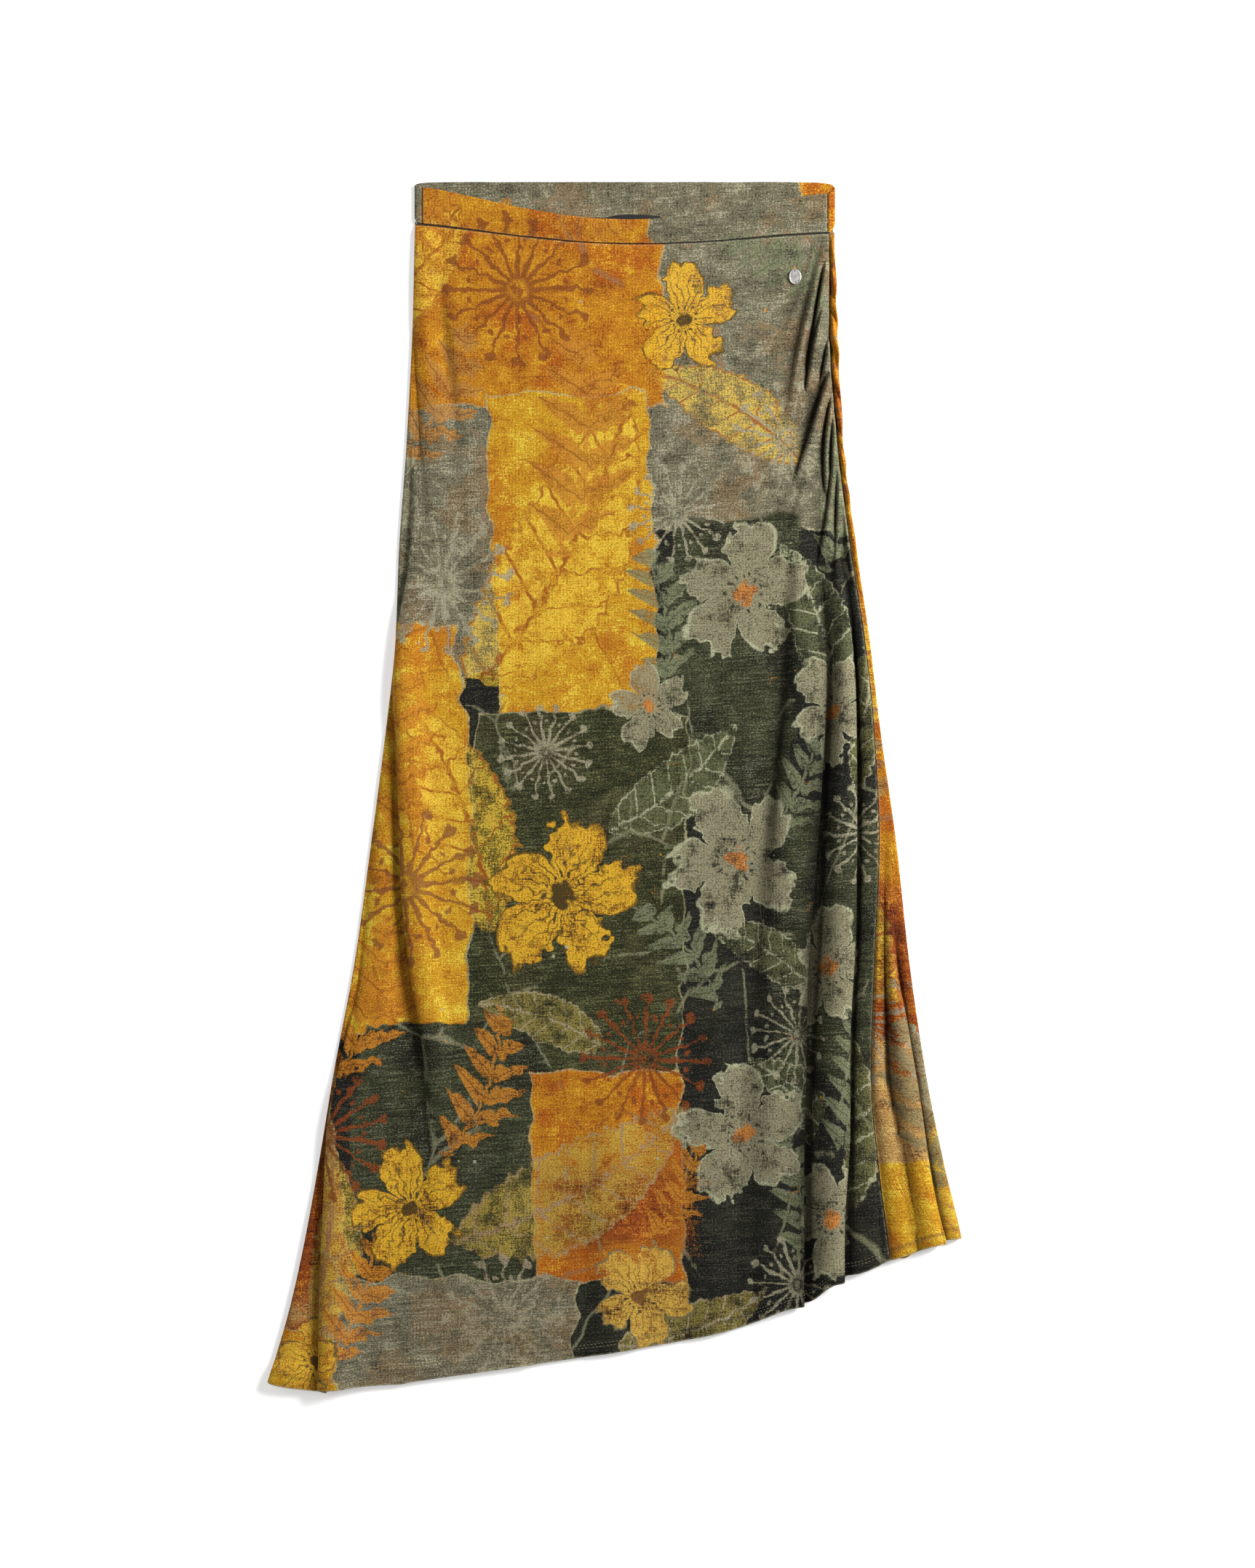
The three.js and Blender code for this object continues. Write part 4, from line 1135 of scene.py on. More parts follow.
backPatches = [
    (-700, 700, -700, 700, 0.00, "charcoal", 0.85, 1.0),
    (-700, 160, 484, 700, 0.02, "stone", 0.4, 0.6),
    (156, 700, 380, 700, 0.02, "ochre", 0.2, 0.6),
    (-700, -36, 246, 490, 0.04, "stone", 0.6, 0.6),
    (-44, 162, 124, 490, 0.02, "ochre", 0.2, 0.6),
    (-700, -36, -10, 252, -0.03, "gold", 0.2, 0.7),
    (-46, 166, -124, 132, 0.03, "olive", 0.85, 0.7),
    (-226, -38, -264, 4, 0.03, "moss", 0.85, 0.7),
    (-42, 164, -326, -118, 0.02, "gold", 0.2, 0.6),
    (-700, -214, -700, 4, 0.10, "sand", 0.4, 0.9),
    (156, 700, -100, 390, -0.05, "ochre", 0.2, 0.7),
    (156, 700, -230, -90, -0.05, "rust", 0.4, 9.0),
    (156, 700, -330, -222, 0.02, "sand", 0.4, 6.0),
    (156, 700, -700, -324, 0.02, "gold", 0.2, 1.5),
    (-226, 162, -700, -416, 0.02, "stone", 0.7, 0.7),
]


def patchColour(sheet, patches, across, up, fields):
    colour = tone("2a2a24")
    for left, right, bottom, top, lean, ink, streaky, soft in patches:
        main, dark, light, other = [tone(code) for code in inks[ink]]
        x = across + fields["wanderX"] - (up - bottom) * lean
        y = up + fields["wanderY"]
        inside = (x - left).least(right - x).least(y - bottom).least(top - y)
        worn = mix(fields["mottle"], fields["streak"], streaky)
        low, high = mix(0.40, 0.54, streaky), mix(0.24, 0.16, streaky)
        fill = sheet.mixColour(fields["cloudy"].between(0.51, 0.57) * 0.85, main, other)
        fill = sheet.mixColour(worn.between(low, high), fill, dark)
        fill = sheet.mixColour(worn.between(mix(0.60, 0.48, streaky), mix(0.74, 0.80, streaky)), fill, light)
        frayed = inside + (fields["mottle"] - 0.5) * (soft * 3)
        colour = sheet.mixColour(frayed.between(-soft, soft), colour, fill)
        if soft < 1.0:
            rim = (1 - abs(inside - 0.6).between(0.3, 1.1)) * (0.25 + fields["rimWear"] * 0.7)
            colour = sheet.mixColour(rim, colour, tone("a09a76"))
    return colour


def motifPlace(sheet, kind):
    # across and along the motif, the distance from its middle and how far its ink is the warm one
    parts = sheet.parts(sheet.attribute(kind, "Vector"))
    return parts, parts.out("Y"), parts.out("Z"), sheet.attribute(kind + "Tone").between(0.2, 0.8)


def fraction(value):
    return value.maths("FRACT", value)


def cosine(value):
    return value.maths("COSINE", value)


def sine(value):
    return value.maths("SINE", value)


def blossomInk(sheet, colour, fields):
    # open blossoms with five notched petals, veined, in worn ink with a pale resist line round them
    x, y, near, shade = motifPlace(sheet, "blossom")
    rough = (fields["fineWander"] - 0.5) * 0.30
    x = x + fields["wanderX"] * 0.010
    y = y + fields["wanderY"] * 0.010
    radius = (x * x + y * y) ** 0.5 + rough
    angle = x.maths("ARCTAN2", y, x) + rough * 1.5
    lobes = abs(cosine(angle * 2.5))
    longer = sine(angle * 2.0 + fields["wanderX"] * 0.2) * 0.07
    edge = 0.30 + 0.54 * lobes ** 0.6 - lobes.between(0.93, 1.0) * 0.09 + longer
    shown = 1 - near.between(0.98, 1.0)
    petal = (edge - radius).between(-0.015, 0.03) * shown
    line = (1 - abs(edge - radius - 0.015).between(0.010, 0.045)) * shown
    vein = (1 - abs(sine(angle * 12 + rough * 7)).between(0.05, 0.5)) * radius.between(0.82, 0.3)
    light = sheet.mixColour(shade, tone("8c866a"), tone("d9a626"))
    shadow = sheet.mixColour(shade, tone("5f5a44"), tone("a8651a"))
    fill = sheet.mixColour(fields["mottle"].between(0.56, 0.26) * 0.8, light, shadow)
    fill = sheet.mixColour(vein * (0.25 + shade * 0.6), fill, tone("2b2418"))
    colour = sheet.mixColour(petal * fields["wear"], colour, fill)
    rim = sheet.mixColour(shade, tone("a9a988"), tone("2f2414"))
    colour = sheet.mixColour(line * (0.3 + fields["rimWear"] * 0.7), colour, rim)
    ember = sheet.mixColour(fields["mottle"].between(0.62, 0.38), tone("bd7630"), tone("7c4418"))
    core = sheet.mixColour(shade, ember, tone("231d12"))
    heart = (0.12 - radius).between(-0.03, 0.02)
    colour = sheet.mixColour(heart * fields["wear"], colour, core)
    stamens = (1 - abs(radius - 0.21).between(0.01, 0.035)) * sine(angle * 13).between(0.2, 0.7)
    return sheet.mixColour(stamens * shown * fields["wear"], colour, tone("26251d"))


def umbelInk(sheet, colour, fields):
    # seed heads: thin rays that end in dots
    x, y, near, shade = motifPlace(sheet, "umbel")
    rough = (fields["fineWander"] - 0.5) * 0.16
    radius = near + rough
    angle = x.maths("ARCTAN2", y, x) + rough * 2
    sideways = abs(sine(angle * 8)) * radius / 8
    thick = 0.012 + (fields["grouped"] - 0.4) * 0.05
    ray = (thick + 0.012 - sideways).between(0.0, 0.014)
    ray = ray * radius.between(0.06, 0.16) * radius.between(0.84, 0.78)
    tip = radius - 0.84
    dot = (tip * tip + sideways * sideways) ** 0.5
    halfway = abs(cosine(angle * 8)) * radius / 8
    ring = radius - 0.58
    small = (ring * ring + halfway * halfway) ** 0.5
    shape = ray.most(1 - dot.between(0.05, 0.075)).most(1 - small.between(0.022, 0.045))
    shape = shape.most(1 - radius.between(0.05, 0.09)) * (1 - near.between(0.97, 1.0))
    ink = sheet.mixColour(shade, tone("9a957a"), tone("7e3a12"))
    ink = sheet.mixColour(fields["mottle"].between(0.56, 0.30) * 0.6, ink, tone("3c2a16"))
    return sheet.mixColour(shape * fields["wear"] * 0.9, colour, ink)


def sprayInk(sheet, colour, fields):
    # bent stems with pairs of narrow leaves
    x, y, near, shade = motifPlace(sheet, "spray")
    rough = (fields["fineWander"] - 0.5) * 0.18
    x = x + rough
    y = y + rough - x * x * 0.22
    side = abs(y)
    length = (1 - x * x).most(0.0) ** 0.8 * 0.46 + 0.02
    step = x * 3.4 - side * 1.9
    cell = abs(fraction(step) - 0.5)
    reach = (side / length).least(1.2)
    leaf = ((1 - reach * reach) * 0.42 * (reach * 5 + 0.25).least(1.0) - cell).between(-0.03, 0.05)
    stem = (1 - side.between(0.010, 0.030)) * (1 - abs(x).between(0.9, 0.97))
    shown = 1 - near.between(0.97, 1.0)
    rib = (1 - cell.between(0.0, 0.06)) * leaf
    light = sheet.mixColour(shade, tone("74785a"), tone("c07a1c"))
    shadow = sheet.mixColour(shade, tone("474b34"), tone("74350e"))
    fill = sheet.mixColour(fields["mottle"].between(0.52, 0.26) * 0.7, light, shadow)
    fill = sheet.mixColour(rib * 0.8, fill, shadow)
    return sheet.mixColour(leaf.most(stem) * shown * fields["wear"] * 0.9, colour, fill)


def leafInk(sheet, colour, fields):
    # large single leaves, thinly inked, with a midrib and slanting side veins
    x, y, near, shade = motifPlace(sheet, "leaf")
    rough = (fields["fineWander"] - 0.5) * 0.12
    x = x + rough
    y = y + rough - x * x * 0.14
    side = abs(y)
    teeth = abs(fraction(x * 9) - 0.5) * 0.05
    half = ((1 - x * x).most(0.0) ** 0.8) * (0.36 - x * 0.08) - teeth
    inside = (half - side).between(-0.01, 0.015) * (1 - near.between(0.97, 1.0))
    rim = (1 - abs(half - side - 0.008).between(0.006, 0.024)) * inside
    slant = fraction(x * 4.2 - side * 2.6)
    vein = (1 - abs(slant - 0.5).between(0.02, 0.075)).most(1 - side.between(0.008, 0.028)) * inside
    light = sheet.mixColour(shade, tone("5f6342"), tone("e0b838"))
    fillShare = inside * fields["wear"] * (0.25 + fields["mottle"].between(0.4, 0.62) * 0.5)
    colour = sheet.mixColour(fillShare, colour, light)
    ink = sheet.mixColour(shade, tone("a3a384"), tone("8c3a0c"))
    return sheet.mixColour(vein.most(rim) * fields["rimWear"] * 1.1, colour, ink)


def spatterInk(sheet, colour, flat, fields):
    # drops of resist, in groups
    cells = sheet.node("ShaderNodeTexVoronoi", {}, {"Vector": flat, "Scale": 0.075, "Randomness": 1.0})
    parts = sheet.node("ShaderNodeSeparateColor", {}, {0: cells.out("Color")})
    size = parts * 0.16 * fields["grouped"].between(0.50, 0.60)
    drop = (size - cells + 0.01).between(0.0, 0.03) * parts.out("Green").between(0.45, 0.5)
    ink = sheet.mixColour(parts.out("Blue").between(0.45, 0.6), tone("a5a588"), tone("c98420"))
    return sheet.mixColour(drop * 0.85, colour, ink)


def crackleInk(sheet, colour, across, up, fields):
    # thin broken lines where the resist has cracked: pale on dark ink, rust on the warm inks
    x = across * 0.013 + fields["fineWander"] * 0.05
    y = up * 0.009 + fields["wanderX"] * 0.008
    values = {"Vector": sheet.combine(x, y), "Scale": 1.0}
    cells = sheet.node("ShaderNodeTexVoronoi", {"feature": "DISTANCE_TO_EDGE"}, values)
    line = cells.between(0.020, 0.004) * fields["cloudy"].between(0.48, 0.54) * fields["wear"]
    bright = sheet.node("ShaderNodeRGBToBW", {}, {0: colour})
    ink = sheet.mixColour(bright.between(0.10, 0.20), tone("8d8b6c"), tone("7c340c"))
    return sheet.mixColour(line * 0.6, colour, ink)


# Spacing of the jersey's wales and courses, slightly coarser than fine jersey's so that they show
knit = {"wale": 1.3, "course": 1.05, "bumpStrength": 0.6, "bumpDepth": 0.0003, "roughness": 0.80}


def jersey(name, patches):
    # knitted jersey with a worn print: wales, heather, slub streaks and the patchwork of inks
    sheet = MaterialSheet(name)
    parts = sheet.parts(sheet.attribute("cut", "Vector"))
    across, up, wrong = parts, parts.out("Y"), parts.out("Z")
    flat = sheet.combine(across, up)
    coarse = sheet.noise(flat, 0.045, 4.0, 0.6)
    swing = sheet.parts(sheet.noise(flat, 0.03, 1.0, 0.5).out("Color"))
    quiver = sheet.noise(flat, 0.11, 1.0, 0.4)
    fine = sheet.noise(flat, 0.20, 4.0, 0.62)
    mottle = sheet.noise(flat, 0.07, 9.0, 0.85)
    slub = sheet.combine(across * 0.030 + up * 0.010, up * 0.50 - across * 0.035)
    streak = sheet.noise(slub, 1.0, 7.0, 0.82)
    speck = sheet.noise(sheet.combine(across * 0.62, up * 0.72), 1.0, 3.0, 0.8)
    grain = sheet.noise(sheet.combine(across * 1.9, up * 1.2, 5.0), 1.0, 1.0, 0.6)
    # ink wears off along the yarns, so the edges of a worn place run across and up the cloth
    hatch = sheet.noise(sheet.combine(across * 0.95, up * 0.10, 9.0), 1.0, 2.0, 0.6)
    hatch = hatch + sheet.noise(sheet.combine(across * 0.08, up * 0.95, 3.0), 1.0, 2.0, 0.6) - 1.0
    bolder = (mottle - 0.5) * 1.7 + 0.5 + (coarse - 0.5) * 1.2 + hatch * 0.7
    streaky = (streak - 0.5) * 2.6 + 0.5
    grit = (speck - 0.5) * 1.2
    fields = {
        "wanderX": (swing - 0.5) * 24 + (fine - 0.5) * 3,
        "wanderY": (swing.out("Y") - 0.5) * 24 + (fine - 0.5) * 3,
        "fineWander": quiver * 0.8 + fine * 0.2,
        "mottle": bolder + grit,
        "streak": streaky * 0.7 + bolder * 0.3 + grit,
        "cloudy": sheet.noise(flat, 0.014, 3.0, 0.6) + (mottle - 0.5) * 0.25 + hatch * 0.12,
        "grouped": coarse,
        "rimWear": bolder.between(0.34, 0.60) * speck.between(0.3, 0.5) * 0.85,
        "wear": speck.between(0.28, 0.50) * bolder.between(0.05, 0.45) * 0.95,
    }
    colour = patchColour(sheet, patches, across, up, fields)
    colour = crackleInk(sheet, colour, across, up, fields)
    for motifInk in (leafInk, umbelInk, sprayInk, blossomInk):
        colour = motifInk(sheet, colour, fields)
    colour = spatterInk(sheet, colour, flat, fields)
    # scattered pale and dark specks of the heathered yarn, and its uneven courses
    pale = sheet.mixColour(0.09, sheet.mixColour(0.55, colour, colour, "SCREEN"), tone("b9b592"))
    deep = sheet.mixColour(0.66, colour, tone("100f0c"))
    colour = sheet.mixColour(speck.between(0.50, 0.66) * 0.75, colour, pale)
    colour = sheet.mixColour(speck.between(0.50, 0.34) * 0.7, colour, deep)
    colour = sheet.mixColour(grain.between(0.48, 0.32) * 0.7, colour, deep)
    colour = sheet.mixColour(grain.between(0.54, 0.70) * 0.6, colour, pale)
    colour = sheet.mixColour(streaky.between(0.45, 0.05) * 0.4, colour, deep)
    wale = sine(across * (2 * math.pi / knit["wale"]))
    course = sine(up * (2 * math.pi / knit["course"]))
    colour = sheet.mixColour(0.12 - wale * 0.11, colour, tone("14130f"))
    # the wrong side is paler, as ink only reaches part of the way through
    colour = sheet.mixColour(wrong * 0.45, colour, tone("a8a48c"))
    seam = sheet.attribute("seamDistance")
    worn = seam.between(0.5, 0.9) * (1 - seam.between(1.2, 2.4)) * fine.between(0.35, 0.6) * 0.12
    colour = sheet.mixColour(worn, colour, tone("cfc9a8"))
    colour = sheet.mixColour((1 - seam.between(0.2, 0.7)) * 0.85, colour, tone("17130e"))
    # along the hem its folded edge is rubbed pale, and the channel that the two needle lines pull in is
    # darkened as painted shade
    edge = sheet.attribute("hemDistance")
    rubbed = (1 - edge.between(0.5, 1.8)) * fine.between(0.3, 0.6) * 0.35
    colour = sheet.mixColour(rubbed, colour, tone("c2bb98"))
    channel = 1 - abs(edge - sum(hemFinish["needleLines"]) / 2).between(1.0, 2.4)
    colour = sheet.mixColour(channel * 0.4, colour, deep)
    # painted shade: hollows beside the folds are darkened in the colour, standing in for the shade of the
    # folds about them
    paintedShade = sheet.attribute("paintedFoldShade").between(0.08, 0.95) * 0.85
    colour = sheet.mixColour(paintedShade, colour, tone("3c3228"), "MULTIPLY")
    height = wale * 0.35 + course * 0.15 + (speck - 0.5) * 0.9 + (grain - 0.5) * 0.6 + (streak - 0.5) * 0.8
    return sheet.finish({
        "Base Color": colour, "Roughness": knit["roughness"] + (speck - 0.5) * 0.2,
        "Normal": sheet.bump(knit["bumpStrength"], knit["bumpDepth"], height),
        "Sheen Weight": 0.02, "Sheen Roughness": 0.5, "Specular IOR Level": 0.06,
    })


def threadMaterial(name, code):
    sheet = MaterialSheet(name)
    twist = sheet.noise(sheet.onObject(), 2400.0, 2.0, 0.6)
    colour = sheet.mixColour(twist.between(0.35, 0.65), tone(code), tone("1d1b16"))
    bump = sheet.bump(0.5, 0.0001, twist)
    return sheet.finish({"Base Color": colour, "Roughness": 0.6, "Normal": bump, "Sheen Weight": 0.1})


def labelMaterial():
    sheet = MaterialSheet("labelSatin")
    place = sheet.onObject()
    weave = sine(sheet.parts(place).out("Y") * (2 * math.pi / labelTape["threadStep"]))
    speck = sheet.noise(place, 1800.0, 3.0, 0.6)
    colour = sheet.mixColour(speck.between(0.4, 0.7), tone("0b0b0b"), tone("202020"))
    bump = sheet.bump(0.4, 0.00008, weave + speck)
    return sheet.finish({"Base Color": colour, "Roughness": 0.38 + speck * 0.15, "Normal": bump})


def plateMaterial():
    sheet = MaterialSheet("plateSteel")
    place = sheet.onObject()
    brushed = sheet.node("ShaderNodeMapping", {}, {"Vector": place, "Scale": (9000.0, 700.0, 700.0)})
    scratch = sheet.noise(brushed, 1.0, 3.0, 0.6)
    cloudy = sheet.noise(place, 300.0, 2.0, 0.5)
    colour = sheet.mixColour(cloudy.between(0.35, 0.7), tone("c9c8c4"), tone("a7a5a0"))
    return sheet.finish({
        "Base Color": colour, "Metallic": 0.85, "Roughness": 0.30 + scratch * 0.2,
        "Normal": sheet.bump(0.25, 0.00005, scratch),
    })


def floorMaterial():
    return MaterialSheet("paleFloor").finish({
        "Base Color": (0.95, 0.95, 0.95, 1), "Roughness": 0.9,
        "Emission Color": (1, 1, 1, 1), "Emission Strength": 0.36,
    })


def dress(piece, material, slot, *nodes):
    piece.data.materials.clear()
    piece.data.materials.append(material)
    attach(piece, "root")
    if nodes:
        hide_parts(*nodes)


def stitchTree(material):
    # stitches along a curve: named sizes in, one joined mesh out
    tree = bpy.data.node_groups.new("stitchLine", "GeometryNodeTree")
    sockets = {}
    for label in ("Geometry", "Spacing", "Stitch Length", "Thread Radius"):
        kind = "NodeSocketGeometry" if label == "Geometry" else "NodeSocketFloat"
        sockets[label] = tree.interface.new_socket(label, in_out="INPUT", socket_type=kind)
    tree.interface.new_socket("Geometry", in_out="OUTPUT", socket_type="NodeSocketGeometry")
    given, result, points, stitch, shape, resize, tangent, turn, place, real, coat = [
        tree.nodes.new(kind) for kind in (
            "NodeGroupInput", "NodeGroupOutput", "GeometryNodeResampleCurve", "GeometryNodeMeshUVSphere",
            "ShaderNodeCombineXYZ", "GeometryNodeTransform", "GeometryNodeInputTangent",
            "FunctionNodeAlignRotationToVector", "GeometryNodeInstanceOnPoints",
            "GeometryNodeRealizeInstances", "GeometryNodeSetMaterial")]
    points.mode = "LENGTH"
    turn.axis = "X"
    stitch.inputs["Segments"].default_value = 6
    stitch.inputs["Rings"].default_value = 4
    stitch.inputs["Radius"].default_value = 1.0
    coat.inputs["Material"].default_value = material
    for source, output, target, socket in (
            (given, "Geometry", points, "Curve"), (given, "Spacing", points, "Length"),
            (given, "Stitch Length", shape, "X"), (given, "Thread Radius", shape, "Y"),
            (given, "Thread Radius", shape, "Z"), (stitch, "Mesh", resize, "Geometry"),
            (shape, "Vector", resize, "Scale"), (tangent, "Tangent", turn, "Vector"),
            (points, "Curve", place, "Points"), (resize, "Geometry", place, "Instance"),
            (turn, "Rotation", place, "Rotation"), (place, "Instances", real, "Geometry"),
            (real, "Geometry", coat, "Geometry"), (coat, "Geometry", result, "Geometry")):
        tree.links.new(source.outputs[output], target.inputs[socket])
    return tree, sockets


def stitchPiece(name, paths, sizes, material):
    data = bpy.data.curves.new(name + "Path", "CURVE")
    data.dimensions = "3D"
    for path in paths:
        spline = data.splines.new("POLY")
        spline.points.add(len(path) - 1)
        spline.points.foreach_set("co", np.c_[np.asarray(path) * mm, np.ones(len(path))].ravel())
    guide = addObject(name + "Path", data)
    tree, sockets = stitchTree(material)
    modifier = guide.modifiers.new("stitches", "NODES")
    modifier.node_group = tree
    for label, value in sizes.items():
        modifier[sockets[label].identifier] = value * mm
    graph = bpy.context.evaluated_depsgraph_get()
    mesh = bpy.data.meshes.new_from_object(guide.evaluated_get(graph))
    mesh.name = name
    guide.modifiers.remove(modifier)
    bpy.data.objects.remove(guide)
    mesh.polygons.foreach_set("use_smooth", [True] * len(mesh.polygons))
    return addObject(name, mesh)


def hemPath(face, distance, inset=0.0):
    # the line on a panel's face that lies a set distance above its hem
    line = []
    for column in range(face.shape[1]):
        points = face[::-1, column]
        run = np.concatenate([[0], np.cumsum(np.linalg.norm(np.diff(points, axis=0), axis=1))])
        line.append([np.interp(distance, run, points[:, k]) for k in range(3)])
    line = np.array(line)
    line[:, 2] -= inset
    return line


def tubeParts(path, radius, sides=8):
    # round thread along a path, closed at both ends
    path = np.asarray(path, float)
    points, faces = [], []
    for i, at in enumerate(path):
        ahead = path[min(i + 1, len(path) - 1)] - path[max(i - 1, 0)]
        ahead = Vector(ahead).normalized()
        across = ahead.cross(Vector((0, 0, 1))).normalized()
        over = across.cross(ahead).normalized()
        for k in range(sides):
            angle = 2 * math.pi * k / sides
            points.append(Vector(at) + radius * (math.cos(angle) * across + math.sin(angle) * over))
    for i in range(len(path) - 1):
        for k in range(sides):
            a, b = i * sides + k, i * sides + (k + 1) % sides
            faces.append((a, a + sides, b + sides, b))
    faces.append(tuple(range(sides)))
    faces.append(tuple(reversed(range(len(points) - sides, len(points)))))
    return points, faces


def joinedTubes(name, paths, radius):
    points, faces = [], []
    for path in paths:
        more, moreFaces = tubeParts(path, radius)
        faces += [tuple(i + len(points) for i in face) for face in moreFaces]
        points += more
    mesh = bpy.data.meshes.new(name)
    mesh.from_pydata([Vector(p) * mm for p in points], [], faces)
    mesh.polygons.foreach_set("use_smooth", [True] * len(mesh.polygons))
    return addObject(name, mesh)


labelTape = {
    "width": 51, "length": 13, "x": 14.5, "top": 495, "wall": 0.5, "arch": 0.7, "rest": 0.3,
    "leftDroop": 3.4, "rightDroop": 1.6, "columns": 60, "rows": 14,
    "threadStep": 0.0006,       # metres, as the material reads it
}


def buildLabel():
    u, v = np.meshgrid(np.linspace(-0.5, 0.5, labelTape["columns"]), np.linspace(0, 1, labelTape["rows"]))
    x = labelTape["x"] + labelTape["width"] * u
    droop = np.where(u < 0, labelTape["leftDroop"], labelTape["rightDroop"])
    y = labelTape["top"] - labelTape["length"] * v - droop * np.abs(2 * u) ** 2.2
    z = band["thickness"] + layer["seamGap"] + labelTape["rest"]
    z = z + labelTape["arch"] * np.cos(math.pi * u) * (1 - v * 0.5)
    grid = np.stack([x, y, z], -1)
    half = np.full(u.shape, labelTape["wall"] / 2)
    half[[0, -1]] *= 0.5
    half[:, [0, -1]] *= 0.5
    piece, _, _ = shellMesh("labelTape", grid, half, half, {})
    return piece


plateDisc = {
    "width": 10.5, "length": 14, "wall": 0.8, "x": 156, "y": 441, "turn": 4, "lift": 0.5,
    "hole": 0.68, "holeInset": 1.95, "edgeInset": 0.2, "bevel": 0.15,
    "rimInset": 0.5, "rimHalfWidth": 0.42, "rimHeight": 0.28, "rimSteps": 64, "rimSides": 8,
    "thread": 0.2, "threadReach": 0.85, "threadSpread": 0.36,
}


def ovalSpline(data, width, length, centreY=0.0, count=48):
    spline = data.splines.new("POLY")
    spline.points.add(count - 1)
    for i in range(count):
        angle = 2 * math.pi * i / count
        spline.points[i].co = (width / 2 * math.cos(angle), centreY + length / 2 * math.sin(angle), 0, 1)
    spline.use_cyclic_u = True


def buildPlate(base):
    data = bpy.data.curves.new("plateOutline", "CURVE")
    data.dimensions = "2D"
    data.fill_mode = "BOTH"
    inset = plateDisc["edgeInset"] * 2
    ovalSpline(data, plateDisc["width"] - inset, plateDisc["length"] - inset)
    holeY = plateDisc["length"] / 2 - plateDisc["holeInset"]
    for side in (-1, 1):
        ovalSpline(data, plateDisc["hole"] * 2, plateDisc["hole"] * 2, side * holeY, 20)
    data.extrude = plateDisc["wall"] / 2 - plateDisc["bevel"]
    data.bevel_depth = plateDisc["bevel"]
    data.bevel_resolution = 2
    outlineObject = addObject("plateOutline", data)
    graph = bpy.context.evaluated_depsgraph_get()
    mesh = bpy.data.meshes.new_from_object(outlineObject.evaluated_get(graph))
    bpy.data.objects.remove(outlineObject)
    points = [np.array(v.co) for v in mesh.vertices]
    faces = [tuple(p.vertices) for p in mesh.polygons]
    # a raised rim runs round the plate
    start, steps, sides = len(points), plateDisc["rimSteps"], plateDisc["rimSides"]
    for i in range(steps):
        angle = 2 * math.pi * i / steps
        x = math.cos(angle) * (plateDisc["width"] / 2 - plateDisc["rimInset"])
        y = math.sin(angle) * (plateDisc["length"] / 2 - plateDisc["rimInset"])
        outward = np.array([x, y, 0]) / np.hypot(x, y)
        for k in range(sides):
            angle = 2 * math.pi * k / sides
            offset = outward * plateDisc["rimHalfWidth"] * math.cos(angle)
            offset = offset + np.array([0, 0, plateDisc["rimHeight"] * math.sin(angle)])
            points.append(np.array([x, y, plateDisc["wall"] / 2]) + offset)
            ahead, beside = (i + 1) % steps, (k + 1) % sides
            faces.append(tuple(start + row * sides + side
                               for row, side in ((i, k), (ahead, k), (ahead, beside), (i, beside))))
    angle = math.radians(plateDisc["turn"])
    cosTurn, sinTurn = math.cos(angle), math.sin(angle)
    turn = np.array([[cosTurn, -sinTurn, 0], [sinTurn, cosTurn, 0], [0, 0, 1]])
    centre = np.array([plateDisc["x"], plateDisc["y"], base + plateDisc["wall"] / 2])
    placed = [(turn @ point + centre) * mm for point in points]
    made = bpy.data.meshes.new("plateDisc")
    made.from_pydata(placed, [], faces)
    made.polygons.foreach_set("use_smooth", [len(f) == 4 for f in faces])
    threads = []
    for side in (-1, 1):
        hole = turn @ np.array([0, side * holeY, 0]) + centre
        for strand in (-1, 0, 1):
            path = []
            for t in np.linspace(-1, 1, 7):
                place = [strand * plateDisc["threadSpread"], plateDisc["threadReach"] * t, 0]
                across = turn @ np.array(place)
                path.append(hole + across - np.array([0, 0, plateDisc["wall"] * (0.35 + 0.3 * t * t)]))
            threads.append(path)
    return addObject("plateDisc", made), joinedTubes("plateThread", threads, plateDisc["thread"])


def surfaceHeight(face, x, y):
    distance = (face[..., 0] - x) ** 2 + (face[..., 1] - y) ** 2
    return float(face[..., 2].ravel()[np.argmin(distance)])


studio = {
    "lens": 85, "sensor": 36, "millimetresPerPixel": 0.63, "photoWidth": 1725, "photoHeight": 2156,
    "middleX": 845, "middleY": 1081.5,
    "worldStrength": 0.2, "floorHalf": 30, "floorZ": -0.0002,
    "keyPower": 158, "keySize": 1.2, "keyPlace": (2.1, 1.2, 1.7),
    "fillPower": 26, "fillSize": 2.4, "fillPlace": (-1.8, 0.6, 2.6),
}


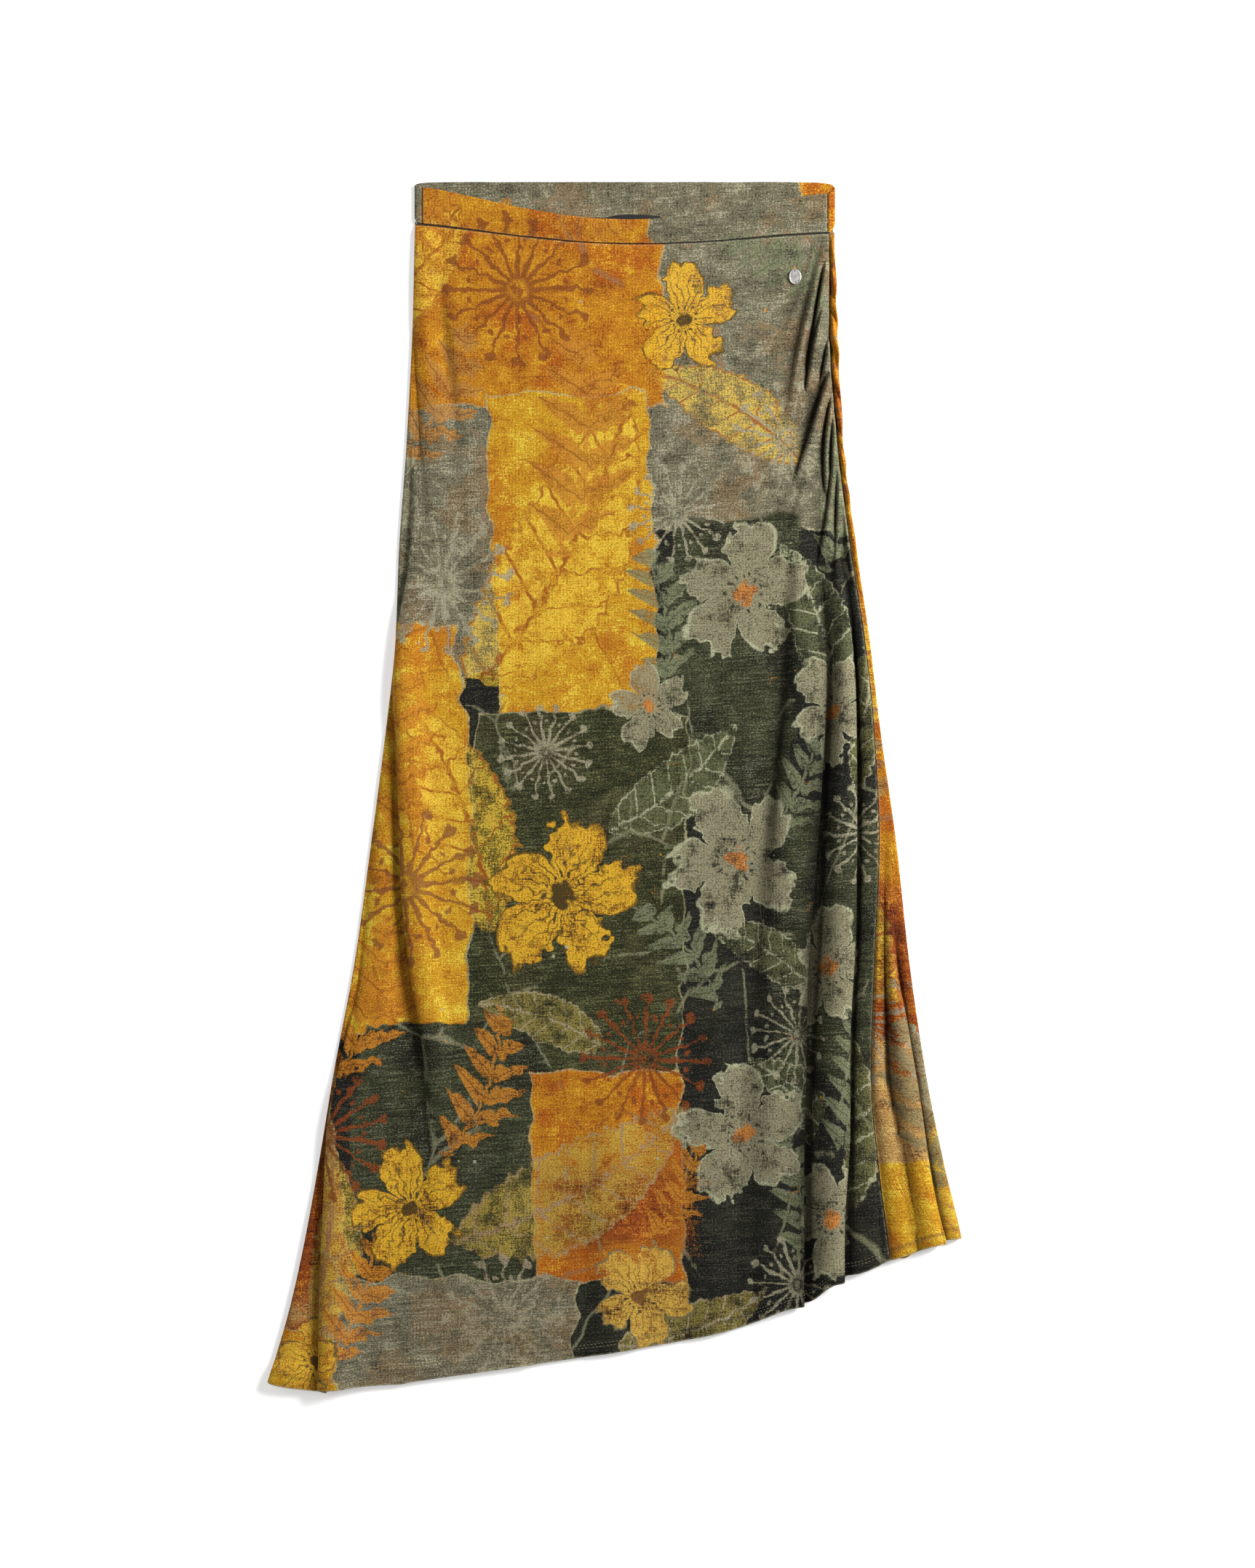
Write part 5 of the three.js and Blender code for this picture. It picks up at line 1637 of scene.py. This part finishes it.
def buildStudio():
    floor = bpy.data.meshes.new("floor")
    corners = [(x * studio["floorHalf"], y * studio["floorHalf"], studio["floorZ"])
               for x, y in ((-1, -1), (1, -1), (1, 1), (-1, 1))]
    floor.from_pydata(corners, [], [(0, 1, 2, 3)])
    stage = addObject("floor", floor)
    floor.materials.append(floorMaterial())
    world = bpy.data.worlds.new("studioSky")
    world.use_nodes = True
    back = world.node_tree.nodes["Background"]
    back.inputs["Color"].default_value = (1, 1, 1, 1)
    back.inputs["Strength"].default_value = studio["worldStrength"]
    bpy.context.scene.world = world
    for label in ("key", "fill"):
        lamp = bpy.data.lights.new(label + "Light", "AREA")
        lamp.energy = studio[label + "Power"]
        lamp.size = studio[label + "Size"]
        holder = addObject(label + "Light", lamp)
        holder.location = studio[label + "Place"]
        holder.rotation_euler = (-Vector(studio[label + "Place"])).to_track_quat("-Z", "Y").to_euler()
    lens = bpy.data.cameras.new("camera")
    lens.lens = studio["lens"]
    lens.sensor_width = studio["sensor"]
    camera = addObject("camera", lens)
    scale = studio["millimetresPerPixel"] * mm
    height = studio["photoHeight"] * scale * studio["lens"] / studio["sensor"]
    camera.location = ((studio["photoWidth"] / 2 - studio["middleX"]) * scale,
                       (studio["middleY"] - studio["photoHeight"] / 2) * scale, height)
    bpy.context.scene.camera = camera
    bpy.context.scene.view_settings.view_transform = "Standard"


buildStudio()
print("studio")

frontJersey = jersey("frontJersey", frontPatches)
backJersey = jersey("backJersey", backPatches)
hemThread = threadMaterial("hemThread", "a9a482")
seamThread = threadMaterial("seamThread", "2b2417")
blackThread = threadMaterial("blackThread", "16161a")
print("materials")

frontPanel, frontFace = buildFrontPanel()
dress(frontPanel, frontJersey, "printed_jersey", "front_panel")
backPanel, backFace, onTop = buildBackPanel()
dress(backPanel, backJersey, "printed_jersey", "back_panel")
frontBand, bandFace = buildFrontBand()
dress(frontBand, frontJersey, "band_jersey", "waistband_front")
backBand = buildBackBand()
dress(backBand, backJersey, "band_jersey", "waistband_back")
print("cloth")

labelPiece = buildLabel()
dress(labelPiece, labelMaterial(), "label_weave", "inner_label")
plateBase = surfaceHeight(frontFace, plateDisc["x"], plateDisc["y"]) + plateDisc["lift"]
platePiece, plateThread = buildPlate(plateBase)
dress(platePiece, plateMaterial(), "plate_metal", "trim_plate")
dress(plateThread, blackThread, "printed_jersey")
print("label and plate")

# Stitches: their spacing, length and thread radius, and the columns of each face that the hem's lines cross
hemSizes = {"Spacing": 3.2, "Stitch Length": 1.2, "Thread Radius": 0.24}
seamSizes = {"Spacing": 1.2, "Stitch Length": 0.85, "Thread Radius": 0.46}
hemColumns = {"front": slice(9, -2), "strip": slice(8, -2), "floor": slice(2, -14)}
hemSink = {"top": 0.05, "floor": -0.1}      # how far the thread is sunk into the face, towards the floor
bandSeamLine = {"leftInset": 1.5, "rightInset": 1, "points": 260, "below": 0.2, "above": 0.85}


def hemLines(face, columns, sink):
    return [hemPath(face[:, columns], distance, sink) for distance in hemFinish["needleLines"]]


frontLines = hemLines(frontFace, hemColumns["front"], hemSink["top"])
frontHem = stitchPiece("frontHemStitches", frontLines, hemSizes, hemThread)
dress(frontHem, hemThread, "printed_jersey")
backLines = hemLines(backFace[:, onTop], hemColumns["strip"], hemSink["top"])
backLines += hemLines(backFace[:, ~onTop], hemColumns["floor"], hemSink["floor"])
backHem = stitchPiece("backHemStitches", backLines, hemSizes, hemThread)
dress(backHem, hemThread, "printed_jersey")
seamX = np.linspace(outline["left"][0] + bandSeamLine["leftInset"],
                    outline["seam"][0] - bandSeamLine["rightInset"], bandSeamLine["points"])
seamY = bandSeamY(seamX) + bandWave(seamX) - layer["bandSeamGap"] / 2 - bandSeamLine["below"]
seamZ = np.full_like(seamX, layer["frontMid"] + bandSeamLine["above"])
bandSeam = stitchPiece("bandSeamStitches", [np.stack([seamX, seamY, seamZ], 1)], seamSizes, seamThread)
dress(bandSeam, seamThread, "band_jersey")
print("stitches")
